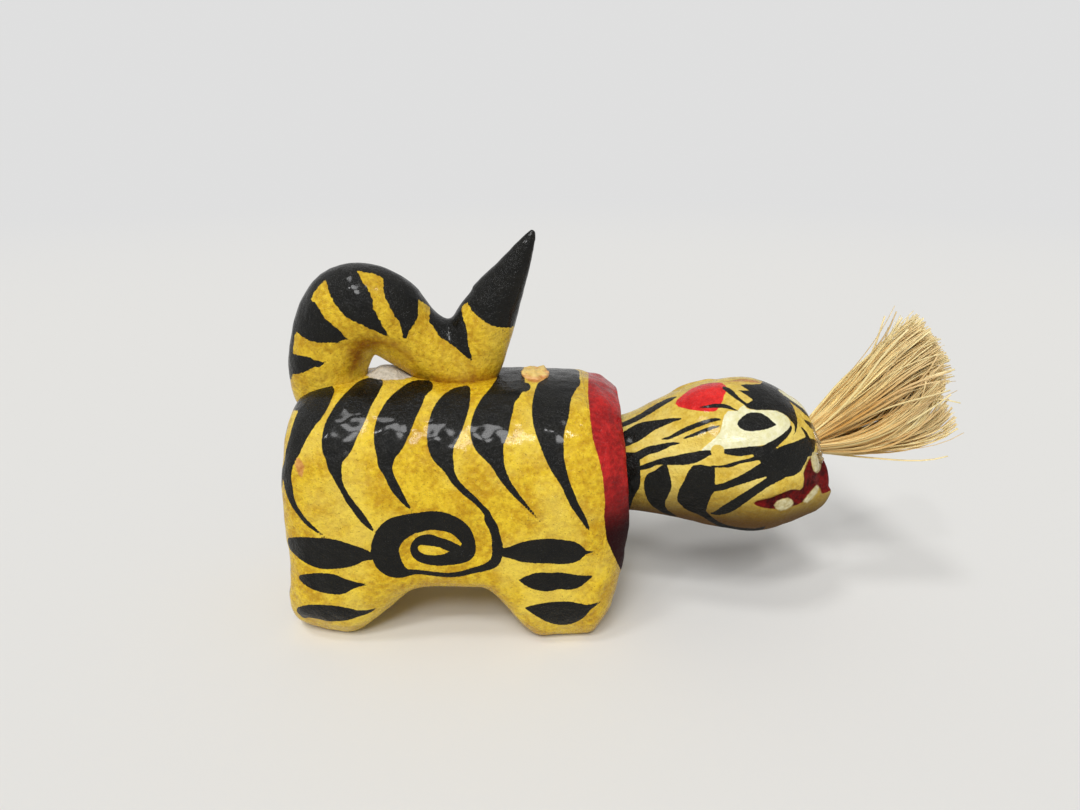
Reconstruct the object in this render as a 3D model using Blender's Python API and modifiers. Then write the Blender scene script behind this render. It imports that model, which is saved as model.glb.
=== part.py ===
"""Papier-mache tiger whose head hangs on a thread and nods.

The tiger faces +X and stands on z = 0. Sizes are in metres. Lengths along the body are
measured from its middle, and the root empty then puts the origin under the middle of the
whole tiger's box.
"""

import math
import random

import bmesh
import bpy
from mathutils import Matrix, Vector

# Gap between pieces that touch, and the reach of cutters past what they cut
CLEARANCE = 0.0003
REACH = 0.2
WELD = 0.000001

# Body: a loaf with a round back, upright flanks and four short legs
BODY_LENGTH = 0.0772
BODY_WIDTH = 0.0460
BACK_HEIGHT = 0.0580
FLANK_HEIGHT = 0.0280
BODY_WALL = 0.0016
END_SQUARENESS = 6.5
BACK_SQUARENESS = 2.6
FLANK_SQUARENESS = 4.5
FOOT_FULLNESS = 0.60
HEEL_FULLNESS = 0.30
SOLE_CUT = 0.0020
ARCH_HEIGHT = 0.0133
ARCH_REAR = 0.0072
ARCH_REAR_SLOPE = 0.0185
ARCH_FRONT = 0.0046
ARCH_FRONT_SLOPE = 0.0150
TOE_SETBACK = 0.0100
TOE_RADIUS = 0.0076
TOE_REACH = 0.98
GROIN_HEIGHT = 0.0075
GROIN_WIDTH = 0.0060
GROIN_SLOPE = 0.0070
BODY_SIDES = 36
BODY_RINGS = 28
PROFILE_STEPS = 400

# Mouth of the body: a red ring in front of a leaning seam, with an oval opening below the back's rim
MOUTH_SEAM_SETBACK = 0.0064
MOUTH_SEAM_LEAN = math.radians(11)
MOUTH_RIM = 0.0037
MOUTH_WIDTH = 0.0352
MOUTH_TALL = 0.0356
MOUTH_SIDES = 40

# Seam strips, pasted inside the shells; the back strip ends in front of the thread
STRIP_WIDTH = 0.0050
STRIP_THICKNESS = 0.0006
BACK_STRIP_REAR = 0.0190
BACK_STRIP_FRONT = 0.0073
BELLY_STRIP_END = 0.0090

# Tail: distance forward of the rump, height above the back, half depth of the section
TAIL_WIDTH_SHARE = 0.78
TAIL_WALL = 0.0016
TAIL_SIDES = 16
TAIL_ARCH_POINTS = [
    (0.0115, -0.0090, 0.0090),
    (0.0086, 0.0000, 0.0088),
    (0.0102, 0.0082, 0.0098),
    (0.0152, 0.0144, 0.0106),
    (0.0222, 0.0136, 0.0097),
    (0.0281, 0.0089, 0.0079),
    (0.0338, 0.0048, 0.0076),
    (0.0384, 0.0008, 0.0074),
    (0.0415, -0.0020, 0.0072),
]
TAIL_TIP_POINTS = [
    (0.0397, -0.0010, 0.0071),
    (0.0419, 0.0055, 0.0075),
    (0.0444, 0.0115, 0.0070),
    (0.0471, 0.0170, 0.0058),
    (0.0500, 0.0220, 0.0042),
    (0.0527, 0.0270, 0.0026),
    (0.0549, 0.0310, 0.0012),
    (0.0556, 0.0323, 0.0006),
]
TAIL_ARCH_RINGS = 22
TAIL_TIP_RINGS = 13
WIRE_RADIUS = 0.0008
WIRE_STUB = 0.0060
WIRE_END = 0.0040

# Thread: it comes down from a knot in front of the tail's landing and ends in a loop round the rod
THREAD_FORWARD = 0.0144
THREAD_RADIUS = 0.0005
THREAD_PLAY = 0.0007
KNOT_RADIUS = 0.0024
KNOT_FLATNESS = 0.55
LOOP_KNOT_RADIUS = 0.0010
PIVOT_RISE = 0.0045

# Head and neck: distance forward of the body's front, height above the mouth's middle,
# half width, half height
HEAD_STATIONS = [
    (-0.0146, -0.0005, 0.0106, 0.0106),
    (-0.0006, -0.0002, 0.0113, 0.0113),
    (0.0077, 0.0013, 0.0134, 0.0137),
    (0.0164, 0.0021, 0.0158, 0.0163),
    (0.0264, 0.0019, 0.0174, 0.0181),
    (0.0323, 0.0015, 0.0168, 0.0176),
    (0.0370, 0.0010, 0.0150, 0.0156),
    (0.0411, -0.0001, 0.0126, 0.0130),
    (0.0440, -0.0030, 0.0096, 0.0088),
    (0.0472, -0.0034, 0.0064, 0.0059),
    (0.0488, -0.0033, 0.0000, 0.0000),
]
HEAD_WALL = 0.0014
NECK_TRIM = 0.0025
HEAD_SIDES = 24
HEAD_RINGS = 22
CROWN_STRIP_END = 0.0360
CHIN_STRIP_END = 0.0390

# Balance gear: plug in the neck, rod through the thread's loop, clay lump on the rod's rear end
PLUG_LENGTH = 0.0035
ROD_RADIUS = 0.0015
ROD_NOSE = 0.0020
BALANCE_ARM = 0.0290
WEIGHT_DROP = 0.0070
ROD_SEAT = 0.0050
BALANCE_ROUNDS = 20

# Whisker tuft: distance of its root forward of the body's front, lean of its axis, fan and length
TUFT_FORWARD = 0.0432
TUFT_LEAN = math.radians(33)
TUFT_ROOT_RADIUS = 0.0042
TUFT_STAND = 0.0006
TUFT_ROOT_DEPTH = 0.0030
TUFT_LENGTH = 0.0335
TUFT_LENGTH_SPREAD = 0.0040
TUFT_LOW_TRIM = 0.0030
TUFT_FAN_TALL = math.radians(25)
TUFT_FAN_WIDE = math.radians(22)
TUFT_DROOP = 0.0040
TUFT_LATTICE = 10
STRAND_SEGMENTS = 2
STRAND_TAPER = 0.45
GLUE_RADIUS = 0.0007

# Densities that the balance is worked out from, in kilograms per cubic metre
PAPER_DENSITY = 800
WOOD_DENSITY = 600
FIBRE_DENSITY = 300
GLUE_DENSITY = 1100
CLAY_DENSITY = 2300

FRONT_X = BODY_LENGTH / 2
RUMP_X = -BODY_LENGTH / 2
MOUTH_HEIGHT = BACK_HEIGHT - MOUTH_RIM - MOUTH_TALL / 2
NECK_HEIGHT = MOUTH_HEIGHT + HEAD_STATIONS[0][1]
MUZZLE_HEIGHT = MOUTH_HEIGHT + HEAD_STATIONS[-1][1]
THREAD_X = RUMP_X + TAIL_ARCH_POINTS[-1][0] + THREAD_FORWARD
PIVOT_HEIGHT = NECK_HEIGHT + PIVOT_RISE
PIVOT = Vector((THREAD_X, 0, PIVOT_HEIGHT))
THREAD_TOP = Vector((THREAD_X, 0, BACK_HEIGHT - BODY_WALL / 2))


def clear_scene():
    for old in list(bpy.data.objects):
        bpy.data.objects.remove(old)


def new_collection(name):
    collection = bpy.data.collections.new(name)
    bpy.context.scene.collection.children.link(collection)
    return collection


def new_material(name, colour, roughness, metallic=0.0):
    material = bpy.data.materials.new(name)
    material.use_nodes = True
    shader = material.node_tree.nodes["Principled BSDF"]
    shader.inputs["Base Color"].default_value = (*colour, 1)
    shader.inputs["Roughness"].default_value = roughness
    shader.inputs["Metallic"].default_value = metallic
    return material


def add_empty(name, place, parent=None):
    empty = bpy.data.objects.new(name, None)
    empty.empty_display_size = 0.01
    PARTS.objects.link(empty)
    attach(empty, parent)
    empty.location = place if parent is None else Vector(place) - world_place(parent)
    return empty


def world_place(item):
    place = Vector((0, 0, 0))
    while item is not None:
        place = place + item.location
        item = item.parent
    return place


def attach(item, parent):
    """Parent an object that is modelled in the tiger's frame, and leave it where it is."""
    item.parent = parent
    if parent is not None and item.type != "EMPTY":
        item.matrix_parent_inverse = Matrix.Translation(-world_place(parent))


def add_piece(name, mesh, material, parent):
    piece = bpy.data.objects.new(name, mesh)
    PARTS.objects.link(piece)
    piece.data.materials.clear()
    piece.data.materials.append(material)
    mesh.shade_smooth()
    mesh.set_sharp_from_angle(angle=math.radians(40))
    attach(piece, parent)
    return piece


def add_cutter(name, mesh, parent):
    cutter = bpy.data.objects.new(name, mesh)
    CUTTERS.objects.link(cutter)
    cutter.hide_render = True
    cutter.display_type = "WIRE"
    attach(cutter, parent)
    return cutter


def boolean(piece, cutter, operation="DIFFERENCE"):
    modifier = piece.modifiers.new(cutter.name, "BOOLEAN")
    modifier.operation = operation
    modifier.object = cutter


def solidify(piece, thickness):
    modifier = piece.modifiers.new("Wall", "SOLIDIFY")
    modifier.thickness = thickness
    modifier.offset = -1
    modifier.use_even_offset = True


def finish_mesh(shape, name):
    mesh = bpy.data.meshes.new(name)
    shape.to_mesh(mesh)
    shape.free()
    return mesh


def evaluated_mesh(item):
    """The item's mesh with its modifiers applied, in the tiger's frame."""
    bpy.context.view_layer.update()
    graph = bpy.context.evaluated_depsgraph_get()
    return bpy.data.meshes.new_from_object(item.evaluated_get(graph))


def box_mesh(name, low, high, frame=Matrix.Identity(4)):
    low = Vector(low)
    high = Vector(high)
    shape = bmesh.new()
    place = Matrix.Translation((low + high) / 2) @ Matrix.Diagonal((*(high - low), 1))
    bmesh.ops.create_cube(shape, size=1, matrix=frame @ place)
    return finish_mesh(shape, name)


def cylinder_mesh(name, start, end, start_radius, end_radius=None, sides=20):
    start = Vector(start)
    end = Vector(end)
    turn = (end - start).to_track_quat("Z", "Y").to_matrix().to_4x4()
    shape = bmesh.new()
    bmesh.ops.create_cone(
        shape,
        cap_ends=True,
        segments=sides,
        radius1=start_radius,
        radius2=start_radius if end_radius is None else end_radius,
        depth=(end - start).length,
        matrix=Matrix.Translation((start + end) / 2) @ turn,
    )
    return finish_mesh(shape, name)


def ball_mesh(name, centre, radius, flatness=1.0, sides=20, rings=12):
    shape = bmesh.new()
    place = Matrix.Translation(centre) @ Matrix.Diagonal((1, 1, flatness, 1))
    bmesh.ops.create_uvsphere(shape, u_segments=sides, v_segments=rings, radius=radius, matrix=place)
    return finish_mesh(shape, name)


def torus_mesh(name, centre, axis, major, minor, sides=24, minor_sides=10):
    bpy.ops.mesh.primitive_torus_add(
        major_radius=major, minor_radius=minor, major_segments=sides, minor_segments=minor_sides
    )
    ring = bpy.context.object
    mesh = ring.data
    bpy.data.objects.remove(ring)
    mesh.name = name
    turn = Vector(axis).to_track_quat("Z", "Y").to_matrix().to_4x4()
    mesh.transform(Matrix.Translation(centre) @ turn)
    return mesh


def sphere_grid(name, sides, rings, place):
    """A sphere's mesh, pole to pole along X, with each vertex put where place(side, ring) says."""
    shape = bmesh.new()
    bmesh.ops.create_uvsphere(shape, u_segments=sides, v_segments=rings, radius=1)
    for vertex in shape.verts:
        ring = round(math.acos(max(-1, min(1, vertex.co.z))) / math.pi * rings)
        side = round(math.atan2(vertex.co.y, vertex.co.x) / math.tau * sides) % sides
        vertex.co = place(side, ring)
    bmesh.ops.triangulate(shape, faces=shape.faces)
    bmesh.ops.recalc_face_normals(shape, faces=shape.faces)
    return finish_mesh(shape, name)


def sunk_mesh(mesh, depth, name):
    """A copy of a closed surface, moved inwards by depth on every face."""
    shape = bmesh.new()
    shape.from_mesh(mesh)
    shape.normal_update()
    moves = [vertex.normal * vertex.calc_shell_factor() * depth for vertex in shape.verts]
    for vertex, move in zip(shape.verts, moves):
        vertex.co -= move
    return finish_mesh(shape, name)


def smoothstep(value, start, end):
    share = max(0, min(1, (value - start) / (end - start)))
    return share * share * (3 - 2 * share)


def power_point(angle, squareness):
    """The point of the unit superellipse in a direction."""
    across = math.cos(angle)
    up = math.sin(angle)
    reach = (abs(across) ** squareness + abs(up) ** squareness) ** (-1 / squareness)
    return across * reach, up * reach


def quarter_points(width, height, squareness, count):
    """Unit points on a quarter superellipse, from (1, 0) to (0, 1), evenly spaced at its real size."""
    turn = math.pi / 2 / PROFILE_STEPS
    fine = [power_point(turn * step, squareness) for step in range(PROFILE_STEPS)] + [(0.0, 1.0)]
    reached = [0.0]
    for start, end in zip(fine, fine[1:]):
        step = math.hypot((end[0] - start[0]) * width, (end[1] - start[1]) * height)
        reached.append(reached[-1] + step)
    points = []
    for number in range(count):
        goal = reached[-1] * number / count
        after = next(place for place in range(1, PROFILE_STEPS + 1) if reached[place] >= goal)
        share = (goal - reached[after - 1]) / (reached[after] - reached[after - 1])
        start, end = fine[after - 1], fine[after]
        points.append((start[0] + share * (end[0] - start[0]), start[1] + share * (end[1] - start[1])))
    return points + [(0.0, 1.0)]


def spline_points(points, count):
    """Points on a smooth curve through the given ones, evenly spread over its parameter."""
    padded = [
        [2 * a - b for a, b in zip(points[0], points[1])],
        *points,
        [2 * a - b for a, b in zip(points[-1], points[-2])],
    ]
    result = []
    for step in range(count):
        along = step / (count - 1) * (len(points) - 1)
        piece = min(int(along), len(points) - 2)
        result.append(spline_point(padded[piece:piece + 4], along - piece))
    return result


def spline_point(four, share):
    """A point of a Catmull-Rom curve between the two middle ones of four points."""
    before, start, end, after = four
    return [
        b
        + 0.5 * share * (c - a + share * (2 * a - 5 * b + 4 * c - d + share * (3 * (b - c) + d - a)))
        for a, b, c, d in zip(before, start, end, after)
    ]


def body_section():
    """Unit section of the body, counter-clockwise from the left flank: over the back, then the belly."""
    quarter = BODY_SIDES // 4
    upper = quarter_points(BODY_WIDTH / 2, BACK_HEIGHT - FLANK_HEIGHT, BACK_SQUARENESS, quarter)
    lower = quarter_points(BODY_WIDTH / 2, FLANK_HEIGHT, FLANK_SQUARENESS, quarter)
    section = upper[:-1]
    section += [(-across, up) for across, up in reversed(upper[1:])]
    section += [(-across, -up) for across, up in lower[:-1]]
    section += [(across, -up) for across, up in reversed(lower[1:])]
    return section


def body_profile():
    """Place along the body and spread of the section for each ring, from the rump to the front."""
    half = BODY_RINGS // 2
    quarter = quarter_points(BODY_LENGTH / 2, BODY_WIDTH / 2, END_SQUARENESS, half)
    rear = [(-along, spread) for along, spread in quarter]
    return rear + [(along, spread) for along, spread in reversed(quarter[:-1])]


def ground_lift(x, y):
    """How far the underside stands off the ground: nothing under a foot, most under the belly."""
    if x < 0:
        leg = smoothstep(-x, ARCH_REAR, ARCH_REAR + ARCH_REAR_SLOPE)
    else:
        leg = smoothstep(x, ARCH_FRONT, ARCH_FRONT + ARCH_FRONT_SLOPE)
    side = smoothstep(abs(y), GROIN_WIDTH / 2, GROIN_WIDTH / 2 + GROIN_SLOPE)
    toe = min(max(x - FRONT_X + TOE_SETBACK, 0), TOE_REACH * TOE_RADIUS)
    toe_lift = TOE_RADIUS - math.sqrt(TOE_RADIUS**2 - toe**2)
    return max(ARCH_HEIGHT * (1 - leg) + GROIN_HEIGHT * leg * (1 - side), toe_lift)


def body_surface():
    section = body_section()
    profile = body_profile()

    def place(side, ring):
        along, spread = profile[ring]
        across, up = section[side]
        x = along * BODY_LENGTH / 2
        y = across * spread * BODY_WIDTH / 2
        if up >= 0:
            return Vector((x, y, FLANK_HEIGHT + up * spread * (BACK_HEIGHT - FLANK_HEIGHT)))
        fullness = HEEL_FULLNESS if along < 0 else FOOT_FULLNESS
        z = max(0, FLANK_HEIGHT + up * spread**fullness * (FLANK_HEIGHT + SOLE_CUT))
        lift = ground_lift(x, y)
        return Vector((x, y, lift + z * (1 - lift / FLANK_HEIGHT)))

    return sphere_grid("body_surface", BODY_SIDES, BODY_RINGS, place)


def head_surface():
    mirrored = [*HEAD_STATIONS, tuple(a * s for a, s in zip(HEAD_STATIONS[-2], (1, 1, -1, -1)))]
    fine = spline_points(mirrored, (HEAD_RINGS - 1) * len(HEAD_STATIONS) + 1)
    last = round((len(fine) - 1) * (len(HEAD_STATIONS) - 1) / len(HEAD_STATIONS))

    def place(side, ring):
        if ring == 0:
            return Vector((FRONT_X + fine[0][0], 0, MOUTH_HEIGHT + fine[0][1]))
        along, rise, half_width, half_height = fine[round(last * (ring - 1) / (HEAD_RINGS - 1))]
        if ring == HEAD_RINGS:
            half_width = half_height = 0
        angle = math.tau * side / HEAD_SIDES
        across = half_width * math.cos(angle)
        return Vector((FRONT_X + along, across, MOUTH_HEIGHT + rise + half_height * math.sin(angle)))

    return sphere_grid("head_surface", HEAD_SIDES, HEAD_RINGS, place)


def neck_radius(x):
    """Outer radius of the neck between its first two stations."""
    first, second = HEAD_STATIONS[:2]
    share = (x - FRONT_X - first[0]) / (second[0] - first[0])
    return first[2] + share * (second[2] - first[2])


def nose_point(surface):
    """Where the tuft's axis leaves the head: the upper surface at the tuft's place."""
    x = FRONT_X + TUFT_FORWARD
    probe = bmesh.new()
    probe.from_mesh(surface)
    everything = probe.verts[:] + probe.edges[:] + probe.faces[:]
    cut = bmesh.ops.bisect_plane(probe, geom=everything, plane_co=(x, 0, 0), plane_no=(1, 0, 0))
    top = max(item.co.z for item in cut["geom_cut"] if isinstance(item, bmesh.types.BMVert))
    probe.free()
    return Vector((x, 0, top))


def tail_place(point):
    forward, above, radius = point
    return Vector((RUMP_X + forward, 0, BACK_HEIGHT + above)), radius


def tube_mesh(name, places, radii, sides, width_share=1.0):
    """A closed tube along a curve, as a mesh, narrowed across Y."""
    curve = bpy.data.curves.new(name, "CURVE")
    curve.dimensions = "3D"
    curve.bevel_depth = 1.0
    curve.bevel_resolution = sides // 4 - 1
    curve.use_fill_caps = True
    spline = curve.splines.new("POLY")
    spline.points.add(len(places) - 1)
    for point, place, radius in zip(spline.points, places, radii):
        point.co = (*place, 1)
        point.radius = radius
    tube = bpy.data.objects.new(name, curve)
    bpy.context.scene.collection.objects.link(tube)
    mesh = evaluated_mesh(tube)
    bpy.data.objects.remove(tube)
    bpy.data.curves.remove(curve)
    shape = bmesh.new()
    shape.from_mesh(mesh)
    bmesh.ops.remove_doubles(shape, verts=shape.verts, dist=WELD)
    bmesh.ops.scale(shape, vec=(1, width_share, 1), verts=shape.verts)
    bmesh.ops.recalc_face_normals(shape, faces=shape.faces)
    shape.to_mesh(mesh)
    shape.free()
    mesh.name = name
    return mesh


def tail_tube(name, points, rings, inset=0.0):
    places, radii = zip(*(tail_place(point) for point in spline_points(points, rings)))
    return tube_mesh(name, places, [radius - inset for radius in radii], TAIL_SIDES, TAIL_WIDTH_SHARE)


def make_body(surface):
    """Two half shells and the red ring, all cut from one hollow loaf."""
    seam = Vector((FRONT_X - MOUTH_SEAM_SETBACK, 0, MOUTH_HEIGHT))
    lean = Matrix.Translation(seam) @ Matrix.Rotation(-MOUTH_SEAM_LEAN, 4, "Y")
    halves = []
    for name, side in (("body_half_left", 1), ("body_half_right", -1)):
        half = add_piece(name, surface.copy(), YELLOW_LACQUER, ROOT)
        solidify(half, BODY_WALL)
        inner = side * CLEARANCE / 2
        low = (-REACH, min(inner, side * REACH), -REACH)
        high = (-CLEARANCE / 2, max(inner, side * REACH), REACH)
        boolean(half, add_cutter(name + "_room", box_mesh(name, low, high, lean), ROOT), "INTERSECT")
        halves.append(half)
    ring = add_piece("mouth_ring", surface.copy(), RED_LACQUER, ROOT)
    solidify(ring, BODY_WALL)
    front = box_mesh("front_room", (CLEARANCE / 2, -REACH, -REACH), (REACH, REACH, REACH), lean)
    boolean(ring, add_cutter("mouth_ring_room", front, ROOT), "INTERSECT")
    opening = cylinder_mesh("opening", (0, 0, 0), (REACH, 0, 0), 1, sides=MOUTH_SIDES)
    opening.transform(Matrix.Diagonal((1, MOUTH_WIDTH / 2, MOUTH_TALL / 2, 1)))
    opening.transform(Matrix.Translation((0, 0, MOUTH_HEIGHT)))
    boolean(ring, add_cutter("mouth_opening", opening, ROOT))
    return halves


def make_strip(name, surface, wall, low, high, parent):
    """A pasted paper strip that follows a shell's inner side within a box."""
    strip = add_piece(name, sunk_mesh(surface, wall + CLEARANCE, name), PLAIN_PAPER, parent)
    solidify(strip, STRIP_THICKNESS)
    boolean(strip, add_cutter(name + "_room", box_mesh(name, low, high), parent), "INTERSECT")
    return strip


def make_seam_strips(body, head):
    half = STRIP_WIDTH / 2
    back = make_strip(
        "back_seam_strip",
        body,
        BODY_WALL,
        (RUMP_X + BACK_STRIP_REAR, -half, FLANK_HEIGHT),
        (THREAD_X + BACK_STRIP_FRONT, half, REACH),
        ROOT,
    )
    make_strip(
        "belly_seam_strip",
        body,
        BODY_WALL,
        (RUMP_X + BELLY_STRIP_END, -half, -REACH),
        (FRONT_X - BELLY_STRIP_END, half, FLANK_HEIGHT),
        ROOT,
    )
    start = neck_end() + 2 * CLEARANCE + PLUG_LENGTH
    crown = make_strip(
        "crown_seam_strip",
        head,
        HEAD_WALL,
        (start, -half, PIVOT_HEIGHT),
        (FRONT_X + CROWN_STRIP_END, half, REACH),
        HEAD_PIVOT,
    )
    chin = make_strip(
        "chin_seam_strip",
        head,
        HEAD_WALL,
        (start, -half, -REACH),
        (FRONT_X + CHIN_STRIP_END, half, MUZZLE_HEIGHT),
        HEAD_PIVOT,
    )
    return back, crown, chin


def neck_end():
    return FRONT_X + HEAD_STATIONS[0][0] + NECK_TRIM


def make_head(surface):
    halves = []
    for name, side in (("head_half_left", 1), ("head_half_right", -1)):
        half = add_piece(name, surface.copy(), YELLOW_LACQUER, HEAD_PIVOT)
        solidify(half, HEAD_WALL)
        inner = side * CLEARANCE / 2
        low = (neck_end(), min(inner, side * REACH), -REACH)
        high = (REACH, max(inner, side * REACH), REACH)
        boolean(half, add_cutter(name + "_room", box_mesh(name, low, high), HEAD_PIVOT), "INTERSECT")
        halves.append(half)
    return halves


def make_tail(body):
    """Arch and upright tip as one hollow tube, seated on the back, with a wire through the arch."""
    arch = tail_tube("tail_arch", TAIL_ARCH_POINTS, TAIL_ARCH_RINGS)
    tail = add_piece("tail_shell", arch, YELLOW_LACQUER, ROOT)
    tip = tail_tube("tail_tip", TAIL_TIP_POINTS, TAIL_TIP_RINGS)
    boolean(tail, add_cutter("tail_tip", tip, ROOT), "UNION")
    bore = tail_tube("tail_bore", TAIL_ARCH_POINTS, TAIL_ARCH_RINGS, TAIL_WALL)
    boolean(tail, add_cutter("tail_bore", bore, ROOT))
    seat = sunk_mesh(body, -CLEARANCE, "tail_seat")
    boolean(tail, add_cutter("tail_seat", seat, ROOT))

    places = [tail_place(point)[0] for point in spline_points(TAIL_ARCH_POINTS, TAIL_ARCH_RINGS)]
    seated = BACK_HEIGHT + TAIL_WALL + WIRE_RADIUS + WIRE_END
    route = [place for place in places if place.z > BACK_HEIGHT + 2 * WIRE_RADIUS]
    foot = Vector((route[0].x, 0, BACK_HEIGHT - WIRE_STUB))
    top = max(range(len(route)), key=lambda index: route[index].z)
    route = [place for index, place in enumerate(route) if index <= top or place.z > seated]
    mesh = tube_mesh("tail_core_wire", [foot, *route], [WIRE_RADIUS] * (len(route) + 1), 8)
    add_piece("tail_core_wire", mesh, IRON_WIRE, ROOT)
    bore_top = Vector((foot.x, 0, BACK_HEIGHT + CLEARANCE))
    hole = cylinder_mesh("wire_hole", foot - Vector((0, 0, WIRE_STUB)), bore_top, WIRE_RADIUS + CLEARANCE)
    return add_cutter("wire_hole", hole, ROOT)


def make_thread(body):
    """Knot on the back, hanging thread, and the loop that carries the rod."""
    knot_mesh = ball_mesh("thread_knot", (THREAD_X, 0, BACK_HEIGHT), KNOT_RADIUS, KNOT_FLATNESS)
    knot = add_piece("thread_knot", knot_mesh, WORN_ORANGE, ROOT)
    boolean(knot, add_cutter("knot_seat", sunk_mesh(body, -CLEARANCE, "knot_seat"), ROOT))

    ring_radius = ROD_RADIUS + CLEARANCE + THREAD_RADIUS
    ring = torus_mesh("thread_loop", PIVOT, (1, 0, 0), ring_radius, THREAD_RADIUS, 20, 8)
    loop = add_piece("thread_loop", ring, HEMP_THREAD, LOOP_PIVOT)
    loop_knot = PIVOT + Vector((0, 0, ring_radius + LOOP_KNOT_RADIUS))
    ball = ball_mesh("loop_knot", loop_knot, LOOP_KNOT_RADIUS, 1.0, 12, 8)
    boolean(loop, add_cutter("loop_knot", ball, LOOP_PIVOT), "UNION")

    low = loop_knot + Vector((0, 0, LOOP_KNOT_RADIUS + CLEARANCE))
    high = Vector((THREAD_X, 0, BACK_HEIGHT))
    thread = cylinder_mesh("hanging_thread", low, high, THREAD_RADIUS, sides=12)
    add_piece("hanging_thread", thread, HEMP_THREAD, THREAD_PIVOT)
    hole = cylinder_mesh(
        "thread_hole",
        (THREAD_X, 0, FLANK_HEIGHT),
        (THREAD_X, 0, BACK_HEIGHT + REACH),
        THREAD_RADIUS + THREAD_PLAY,
    )
    return add_cutter("thread_hole", hole, ROOT)


def make_plug_and_rod():
    start = neck_end() + CLEARANCE
    end = start + PLUG_LENGTH
    room = HEAD_WALL + 2 * CLEARANCE
    mesh = cylinder_mesh(
        "neck_plug",
        (start, 0, NECK_HEIGHT),
        (end, 0, NECK_HEIGHT),
        neck_radius(start) - room,
        neck_radius(end) - room,
        HEAD_SIDES,
    )
    plug = add_piece("neck_plug", mesh, PALE_WOOD, HEAD_PIVOT)
    rear = Vector((THREAD_X - BALANCE_ARM - ROD_SEAT, 0, PIVOT_HEIGHT))
    front = Vector((end + ROD_NOSE, 0, PIVOT_HEIGHT))
    stick = cylinder_mesh("balance_rod", rear, front, ROD_RADIUS)
    rod = add_piece("balance_rod", stick, BAMBOO, HEAD_PIVOT)
    far_rear = rear - Vector((REACH, 0, 0))
    far_front = front + Vector((CLEARANCE, 0, 0))
    bore = cylinder_mesh("rod_bore", far_rear, far_front, ROD_RADIUS + CLEARANCE)
    cutter = add_cutter("rod_bore", bore, HEAD_PIVOT)
    boolean(plug, cutter)
    return plug, rod, cutter


def make_weight(carried, bore):
    """Clay lump with a hole right through it that balances the carried pieces about the thread."""
    moment = sum(mass_moment(piece, density) for piece, density in carried)
    volume = moment / (CLAY_DENSITY * BALANCE_ARM)
    hole_area = math.pi * (ROD_RADIUS + CLEARANCE) ** 2
    radius = (3 * volume / (4 * math.pi)) ** (1 / 3)
    for _ in range(BALANCE_ROUNDS):
        chord = math.sqrt(radius ** 2 - WEIGHT_DROP ** 2)
        radius = (3 * (volume + hole_area * 2 * chord) / (4 * math.pi)) ** (1 / 3)
    centre = PIVOT - Vector((BALANCE_ARM, 0, WEIGHT_DROP))
    weight = add_piece("counterweight", ball_mesh("counterweight", centre, radius), GREY_CLAY, HEAD_PIVOT)
    boolean(weight, bore)
    print("counterweight radius", round(radius, 5))
    return weight


def mass_moment(piece, density):
    """Mass of a piece times its distance forward of the thread."""
    mesh = evaluated_mesh(piece)
    shape = bmesh.new()
    shape.from_mesh(mesh)
    bmesh.ops.triangulate(shape, faces=shape.faces)
    moment = 0.0
    for face in shape.faces:
        a, b, c = (vertex.co for vertex in face.verts)
        volume = a.dot(b.cross(c)) / 6
        moment += volume * ((a.x + b.x + c.x) / 4 - THREAD_X)
    shape.free()
    bpy.data.meshes.remove(mesh)
    return moment * density


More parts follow.
